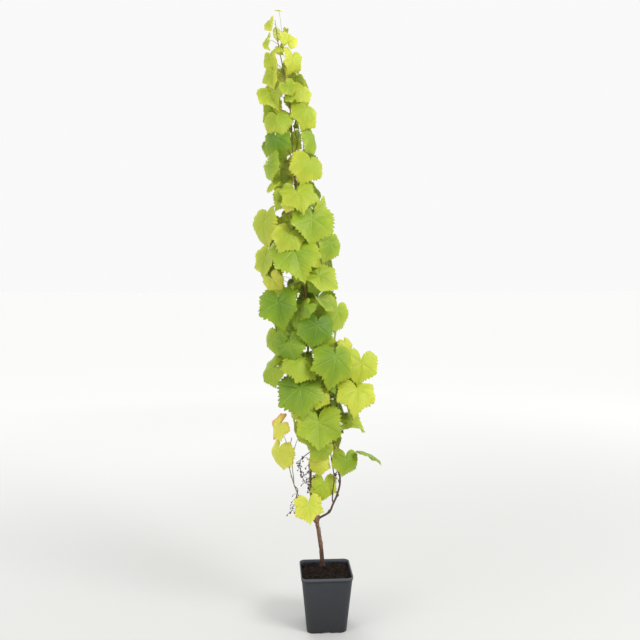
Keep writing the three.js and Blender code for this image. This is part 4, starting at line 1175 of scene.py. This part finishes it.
# Juicy green growth, smooth and a little shiny. Older stalks blush pink, young shoots are pale green.
# Their ribs are about 0.6 mm apart, drawn here at 1.2 mm so that they show.
PALE_STALK, PINK_STALK, SHOOT_RIND, TENDRIL_RIND = range(4)
green_growth = []
for name, colour in (("pale_green_stalk", "#98a046"), ("pink_leaf_stalk", "#a5784a"),
                     ("shoot_rind", "#86903c"), ("tendril_green", "#7d8440")):
    rind = new_material(name, linear(colour), Roughness=0.5, Specular_IOR_Level=0.3, Subsurface_Weight=0.15,
                        Subsurface_Radius=(0.9, 1.0, 0.3), Subsurface_Scale=1.5 * MM)
    place = node(rind, "TexCoord").outputs["Object"]
    stretched = node(rind, "Mapping", inputs={"Vector": place, "Scale": (1, 1, 0.15)})
    ribs = node(rind, "TexNoise", inputs={"Vector": stretched.outputs[0], "Scale": per_mm(1.2)})
    ribbed = node(rind, "Bump", inputs={"Height": ribs.outputs[0], "Strength": 0.4, "Distance": 0.2 * MM})
    drive(rind, "Normal", ribbed.outputs[0])
    green_growth.append(rind)


def stalk_shape(stalk, leaf):
    """A leaf stalk: a smooth arch, swollen where it clasps the shoot and again under the blade."""
    root, bend, end = stalk["path"]
    share = np.linspace(0, 1, STALK["rows"])[:, None]
    control = 2 * bend - (root + end) / 2
    path = root * (1 - share) ** 2 + 2 * control * share * (1 - share) + end * share ** 2
    near_ends = np.abs(2 * share[:, 0] - 1) ** 5 * np.linspace(1, STALK["upper_swelling"], STALK["rows"])
    size = np.clip(leaf["length"] / 100, *STALK_SIZES)
    return tube(path, size * (STALK["waist"] + (STALK["foot"] - STALK["waist"]) * near_ends), STALK["sides"])


for plant in grown:
    path = plant["shoot"]["path"]
    shares = even_shares(path, SHOOT_STEP)
    along = curve_points(path, shares)
    radii = np.linspace(SHOOT["radius"], SHOOT["tip_radius"], len(shares))
    for _, stalk in plant["leaves"]:
        off = np.linalg.norm(along - stalk["path"][0], axis=1)
        radii = radii + JOINT["swelling"] * np.exp(-(off / JOINT["length"]) ** 2)
    radii[-1] *= BLUNT_END
    shapes = [tube(along, radii, 12)]
    rinds = [SHOOT_RIND]
    for number, (leaf, stalk) in enumerate(plant["leaves"]):
        shapes.append(stalk_shape(stalk, leaf))
        rinds.append(PINK_STALK if (number + len(plant["leaves"])) % 3 == 0 else PALE_STALK)
    for coil in plant["tendrils"]:
        radii = np.linspace(TENDRIL["radius"], TENDRIL["tip_radius"], TENDRIL["points"])
        shapes.append(tube(coil["path"], radii, TENDRIL["sides"]))
        rinds.append(TENDRIL_RIND)
    slots = np.repeat(rinds, [len(faces) for _, faces in shapes])
    twigs = new_piece("twigs_" + plant["plan"]["name"], joined(shapes), green_growth, 60, slots)
    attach(twigs, "root")
    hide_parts("foliage_" + plant["plan"]["name"])


# ---- The leaves ----
# Broad soft blades, 5 to 15 cm long, with five main veins, shallow lobes and coarse uneven teeth. Each
# hangs from its stalk by the bay between its lowest lobes, folded on the midrib, drooping and waved.

VEIN_ANGLES = np.array([0, 60, 116, 180])       # one side's main veins, off the tip, and the bay
LOBE_ANGLES = np.array([0, 30, 60, 88, 116])    # its lobes and the bays between them, in turn
LOBE_REACH = np.array([1, 0.91, 0.95, 0.88, 0.89])
BAYS = np.array([0, 1, 0, 1, 0])
VEIN_HALF_WIDTHS = (0.65, 0.22)         # at the stalk and at the margin, for a leaf 100 mm long
WIDEST_FLANK = 13                       # degrees to a vein's edge, close to the stalk
VEIN_POINT = 0.05                       # the larger tooth that a main vein ends in
TOOTH = {"valley": -0.042, "shoulder": 0.004, "point": 0.036}
TOOTH_POINTS = 3                        # of the margin, to each tooth
TOOTH_SIZES = (0.4, 1.9)
TEETH_FADE = 25                         # degrees from the bay, where the teeth grow smaller
BAY_DEPTHS = (0, 0.08)                  # of its reach, how much deeper than the shallowest bays
UNEVEN_SIDES = (-0.05, 0.05)            # one side is wider than the other by so much
BLADE_HALF_THICKNESS = 0.3
PUFF = 0.028                            # how far the blade swells between its veins
RUFFLE = 0.024                          # how far its margin waves
CURL = (-0.05, 0.14)                    # how far its margin turns down
SIDE_VEIN_SPACING = 0.085               # of a leaf's length
SIDE_VEIN_LEAN = 0.84                   # side veins leave a main vein at 50 degrees


def outline_at(angle, depth):
    """The blade's outline without its teeth: its lobes, its bays as deep as asked, and its round base."""
    reach = LOBE_REACH - depth * BAYS
    lobe = np.clip(np.searchsorted(LOBE_ANGLES, angle, side="right") - 1, 0, 3)
    share = (angle - LOBE_ANGLES[lobe]) / (LOBE_ANGLES[lobe + 1] - LOBE_ANGLES[lobe])
    ease = 0.5 - 0.5 * np.cos(math.pi * share)
    down = np.clip((angle - LOBE_ANGLES[-1]) / (180 - LOBE_ANGLES[-1]), 0, 1)
    base = LEAF_NOTCH + (reach[-1] - LEAF_NOTCH) * np.cos(math.pi / 2 * down ** 1.6)
    return np.where(angle > LOBE_ANGLES[-1], base, reach[lobe] + (reach[lobe + 1] - reach[lobe]) * ease)


def blade_plan(teeth, rings):
    """What all leaves of one fineness share: the columns that run out from the stalk, each with its side,
    main vein, flank of that vein, share of the way to the next and tooth, and the faces between them."""
    right = []
    for vein, count in enumerate(teeth):
        if vein:
            right.append((1, vein, -1, 0, VEIN_POINT))
        right.append((1, vein, 1, 0, VEIN_POINT))
        for sample in range(1, TOOTH_POINTS * count):
            share = sample / (TOOTH_POINTS * count)
            leans_back = share < 0.5
            first, second = ("point", "shoulder") if leans_back else ("shoulder", "point")
            right.append((1, vein, 0, share, TOOTH[["valley", first, second][sample % TOOTH_POINTS]]))
    left = [(-1, *column[1:]) for column in right[::-1]]
    columns = np.array([(0, len(teeth) - 1, 0, 1, 0.0)] + left + right, float)
    count = len(columns)
    side, vein, flank, share, _ = columns.T
    after = np.roll(np.arange(count), -1)
    on_vein = (flank != 0) & (flank[after] != 0) & (vein == vein[after])
    between = np.where(side == 0, 1, share)
    middle = (between + np.where((flank[after] != 0) & (vein[after] > vein), 1, between[after])) / 2
    before = np.minimum(vein, vein[after])
    nearest = before + ((middle > 0.5) & (before < len(teeth) - 1))
    lean = np.where(side + side[after] < 0, -1, 1) * VEIN_ANGLES[nearest.astype(int)]
    first_under = 1 + count * rings
    faces, under, ring, strip = [], [], [], []
    for c in range(count):
        d = (c + 1) % count
        for below in (0, 1):
            low = below * first_under
            around = [[low, low + 1 + c, low + 1 + d]]
            for out in range(rings - 1):
                a, b = low + 1 + out * count + c, low + 1 + out * count + d
                around.append([a, a + count, b + count, b])
            faces += [face[::-1] if below else face for face in around]
            under += [below] * rings
            ring += range(rings)
            strip += [c] * rings
        top_c, top_d = 1 + (rings - 1) * count + c, 1 + (rings - 1) * count + d
        faces.append([top_c, top_c + first_under, top_d + first_under, top_d])
        under.append(0)
        ring.append(rings - 1)
        strip.append(c)
    strip = np.array(strip)
    corners = np.concatenate(faces)
    return {"columns": columns, "rings": np.linspace(0, 1, rings + 1)[1:] ** 0.85, "faces": faces,
            "under": np.array(under), "out": np.array(ring) / rings, "on_vein": on_vein[strip],
            "lean": np.radians(lean)[strip], "between": np.sin(math.pi * middle)[strip],
            "corners": corners, "corner_lean": np.radians(lean)[np.repeat(strip, [len(f) for f in faces])]}


# Teeth between one main vein and the next, from the tip round to the bay, and rows from stalk to margin.
FULL_BLADE = blade_plan([6, 6, 7], 9)
YOUNG_BLADE = blade_plan([3, 3, 3], 6)


def blade_shape(leaf, blade, seed):
    """One leaf's points, and how each corner of its faces lies to the side veins, for the fine relief."""
    chance = np.random.default_rng(seed)
    side, vein, flank, share, tooth = blade["columns"].T
    rings = blade["rings"][:, None]
    start, end = VEIN_ANGLES[vein.astype(int)], VEIN_ANGLES[vein.astype(int) + 1]
    reach = leaf["length"] * TIP_SHARE
    at = start + (end - start) * share
    edge = outline_at(at, chance.uniform(*BAY_DEPTHS)) * (1 + side * chance.uniform(*UNEVEN_SIDES))
    tooth_number = np.arange(len(at)) // TOOTH_POINTS
    tooth_sizes = chance.uniform(*TOOTH_SIZES, len(at) // TOOTH_POINTS + 1)[tooth_number]
    edge = edge * (1 + tooth * tooth_sizes * np.clip((180 - at) / TEETH_FADE, 0, 1))
    edge = np.where(side == 0, LEAF_NOTCH, edge)
    half = np.interp(rings, [0, 1], VEIN_HALF_WIDTHS) * leaf["length"] / 100
    flare = np.minimum(np.degrees(half / (reach * rings * edge)), WIDEST_FLANK)
    last = np.where(end < 180, end - flare, 180)
    angles = np.where(flank != 0, start + flank * flare, start + flare + (last - start - flare) * share)
    around = np.radians(np.where(side == 0, 180, side * angles))
    radii = rings * edge
    swell = np.where((flank == 0) & (side != 0), np.sin(math.pi * share), 0) * edge
    ruffle_turn, curl_turn = chance.uniform(0, 6.3, 2)
    curl = chance.uniform(*CURL) * (0.65 + 0.35 * np.sin(2 * around + curl_turn))
    lift = lift_of(leaf, around, edge * np.ones_like(rings), rings) + leaf["length"] * (
        PUFF * swell * np.sin(math.pi * rings ** 0.8)
        + RUFFLE * np.sin(7 * around + ruffle_turn) * rings ** 4 - curl * rings ** 4)
    across, down = reach * radii * np.sin(around), reach * radii * np.cos(around)
    points = leaf["base"] + (down[..., None] * leaf["tip"] + across[..., None] * leaf["across"]
                             + lift[..., None] * leaf["normal"])
    points = np.concatenate([[leaf["base"]], points.reshape(-1, 3)])
    thickness = leaf["normal"] * BLADE_HALF_THICKNESS
    flat = np.concatenate([[[0, 0]], np.stack([down, across], -1).reshape(-1, 2)])
    corner = np.concatenate([flat, flat])[blade["corners"]]
    turn = blade["corner_lean"]
    along = corner[:, 0] * np.cos(turn) + corner[:, 1] * np.sin(turn)
    off = np.abs(corner[:, 1] * np.cos(turn) - corner[:, 0] * np.sin(turn))
    relief = np.stack([along - SIDE_VEIN_LEAN * off, off], 1) / (SIDE_VEIN_SPACING * leaf["length"])
    return np.concatenate([points + thickness, points - thickness]), relief


# The colours run from the deep green of a shaded leaf, by yellow-green, to the yellow, orange and brown
# of a dying one. Under sides are paler and greyer, and veins paler again.
TINT_STEPS = 3                          # shades from each colour to the next
BLADE_COLOURS = {
    "upper_side": ["#42660f", "#5a7a0e", "#718b18", "#86991f", "#97a328", "#a9b034", "#b8ba44", "#c5c24c",
                   "#c08a36", "#7e4524"],
    "under_side": ["#628036", "#728e3c", "#849a42", "#93a448", "#a2ae4e", "#b0b65a", "#bcbf68", "#c6c66c",
                   "#b28c4a", "#84583a"],
    "vein": ["#6b8a30", "#7d9736", "#8fa33e", "#97a63c", "#a5ae46", "#b2b854", "#bfc266", "#cac86c",
             "#b89050", "#8d6040"]}
RELIEF = {"upper_side": 0.9, "under_side": -1.1, "vein": 0.3}


def leaf_material(name, colour, relief):
    """Leaf tissue: matt and slightly waxy, lets light glow through, and puckers between fine veins."""
    made = new_material(name, colour, Roughness=0.52, Specular_IOR_Level=0.33, Subsurface_Weight=0.4,
                        Subsurface_Radius=(0.9, 1.0, 0.25), Subsurface_Scale=2.5 * MM)
    place = node(made, "TexCoord")
    along = node(made, "SeparateXYZ", inputs={"Vector": place.outputs["UV"]}).outputs["X"]
    wrapped = node(made, "Math", {"operation": "PINGPONG"}, {0: along, 1: 0.5})
    furrow = node(made, "MapRange", {"interpolation_type": "SMOOTHSTEP"}, {
        "Value": wrapped.outputs[0], "From Min": 0.0, "From Max": 0.3})
    crinkle = node(made, "TexNoise", inputs={
        "Vector": place.outputs["Object"], "Scale": per_mm(4), "Detail": 3, "Roughness": 0.6})
    puckered = node(made, "Math", {"operation": "MULTIPLY_ADD"}, {
        0: crinkle.outputs[0], 1: 0.55, 2: furrow.outputs[0]})
    bumped = node(made, "Bump", inputs={
        "Height": puckered.outputs[0], "Strength": 0.5, "Distance": relief * MM})
    drive(made, "Normal", bumped.outputs[0])
    return made


leaf_tints, FIRST_TINT = [], {}
for kind, colours in BLADE_COLOURS.items():
    FIRST_TINT[kind] = len(leaf_tints)
    known = np.array([linear(colour) for colour in colours])
    for shade in range(TINT_STEPS * (len(colours) - 1) + 1):
        mixed = [np.interp(shade / TINT_STEPS, range(len(colours)), channel) for channel in known.T]
        leaf_tints.append(leaf_material(f"leaf_{kind}_{shade}", mixed, RELIEF[kind]))

# The usual tint at each height: deepest in the middle of the crown, yellower at its top and foot.
TINT_BY_HEIGHT = [[450, 5], [620, 4.2], [760, 3.6], [950, 2.6], [1150, 2.5], [1350, 2.9], [1600, 3.1],
                  [1850, 3.8], [2050, 4.6], [2237, 5.8]]
TINT_SPREAD = 1.1
YOUNG_PALER = 1.0
# One side of each blade is painted paler, as painted light falling on it.
PAINTED_LIGHT_SIDE = 0.7                        # how many colours paler one side may be
MARGIN_AGEING = (0.4, 2.2)              # how many colours a blade yellows out to its margin
YELLOWEST = 7                           # of a living leaf: only a dying one goes on to orange and brown


def face_tints(tint, blade, seed):
    """The slot of every face: a blade yellows towards its margin and between its veins; one side is painted
    paler, as painted light.
    """
    chance = np.random.default_rng(seed + 7)
    # A painted highlight: one side of the blade, picked at random, turns paler.
    painted_light_side = chance.choice([-1, 1]) * chance.uniform(0, PAINTED_LIGHT_SIDE)
    ageing = chance.uniform(*MARGIN_AGEING)
    out, lean = blade["out"], blade["lean"]
    here = tint + (ageing * (out ** 2.2 - 0.35) + painted_light_side * np.sin(lean) * out
                   + 0.3 * (blade["between"] - 0.5) * out + 0.25 * np.sin(5 * lean + seed) * out)
    last = len(BLADE_COLOURS["vein"]) - 1 if tint > YELLOWEST else YELLOWEST
    shade = np.round(TINT_STEPS * np.clip(here, 0, last)).astype(int)
    first = np.where(blade["under"] == 1, FIRST_TINT["under_side"], FIRST_TINT["upper_side"])
    return shade + np.where(blade["on_vein"], FIRST_TINT["vein"], first)


for number, plant in enumerate(grown):
    shapes, slots, relief = [], [], []
    for i, (leaf, _) in enumerate(plant["leaves"]):
        seed = SEEDS["blade"] + number * 40 + i
        blade = YOUNG_BLADE if leaf["young"] else FULL_BLADE
        points, places = blade_shape(leaf, blade, seed)
        shapes.append((points, blade["faces"]))
        relief.append(places)
        usual = np.interp(leaf["base"][2], *np.array(TINT_BY_HEIGHT).T) + YOUNG_PALER * leaf["young"]
        spread = drawn(chances(seed), -TINT_SPREAD, TINT_SPREAD)
        slots.append(face_tints(leaf.get("tint", min(usual + spread, YELLOWEST)), blade, seed))
    used, slots = np.unique(np.concatenate(slots), return_inverse=True)
    tints = [leaf_tints[i] for i in used]
    blades = new_piece("leaves_" + plant["plan"]["name"], joined(shapes), tints, 50, slots)
    blades.data.uv_layers.new(name="side_veins").data.foreach_set("uv", np.concatenate(relief).ravel())
    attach(blades, "root")
    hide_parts("foliage_" + plant["plan"]["name"])


# ---- The studio ----
# A plain pale floor that runs out into an even white surround, one broad soft lamp from the front
# right, a weaker one from the left and one behind, and the camera a little above the plant's middle.

CAMERA = {"place": (-0.199, -2.643, 1.288), "heading": 0.0672, "down": math.radians(3.38), "lens": 41.2}
SURROUND = 0.95                         # its brightness
FLOOR_WIDTH = 120
FLOOR_FADE = (0.6, 5.5)                 # metres out, where the floor takes on the surround's brightness
FLOOR_GLOW = 0.46

# Pale matt screed. Far out it glows a little, so that it meets the surround without an edge.
pale_screed = new_material("pale_studio_floor", linear("#bdbdbb"), Roughness=0.9, Specular_IOR_Level=0.1,
                           Emission_Color=linear("#ffffff"))
place = node(pale_screed, "TexCoord").outputs["Object"]
far = node(pale_screed, "VectorMath", {"operation": "LENGTH"}, {0: place})
glow = node(pale_screed, "MapRange", {"interpolation_type": "SMOOTHSTEP"}, {
    "Value": far.outputs["Value"], "From Min": FLOOR_FADE[0], "From Max": FLOOR_FADE[1],
    "To Max": FLOOR_GLOW})
drive(pale_screed, "Emission Strength", glow.outputs[0])
bpy.ops.mesh.primitive_plane_add(size=FLOOR_WIDTH)
floor = bpy.context.object
floor.name = "floor"
floor.data.materials.append(pale_screed)

world = bpy.data.worlds.new("white studio")
bpy.context.scene.world = world
world.use_nodes = True
surround = world.node_tree.nodes["Background"]
surround.inputs["Color"].default_value = linear("#ffffff")
surround.inputs["Strength"].default_value = SURROUND


def soft_lamp(name, place, aim, width, watts):
    """A square softbox, aimed at a point."""
    data = bpy.data.lights.new(name, "AREA")
    data.size = width
    data.energy = watts
    lamp = bpy.data.objects.new(name, data)
    lamp.location = place
    lamp.rotation_euler = (Vector(aim) - Vector(place)).to_track_quat("-Z", "Y").to_euler()
    bpy.context.scene.collection.objects.link(lamp)


soft_lamp("key", (2.4, -2.2, 3.2), (0, 0, 1.1), 1.6, 120)
soft_lamp("fill", (-2.6, -1.8, 1.8), (0, 0, 1.1), 1.8, 35)
soft_lamp("back", (-0.6, 2.8, 3.0), (0, 0, 1.3), 1.8, 60)

camera = bpy.data.objects.new("camera", bpy.data.cameras.new("camera"))
camera.data.lens = CAMERA["lens"]
camera.location = CAMERA["place"]
camera.rotation_euler = (math.pi / 2 - CAMERA["down"], 0, -CAMERA["heading"])
bpy.context.scene.collection.objects.link(camera)
bpy.context.scene.camera = camera
bpy.context.scene.view_settings.view_transform = "Standard"
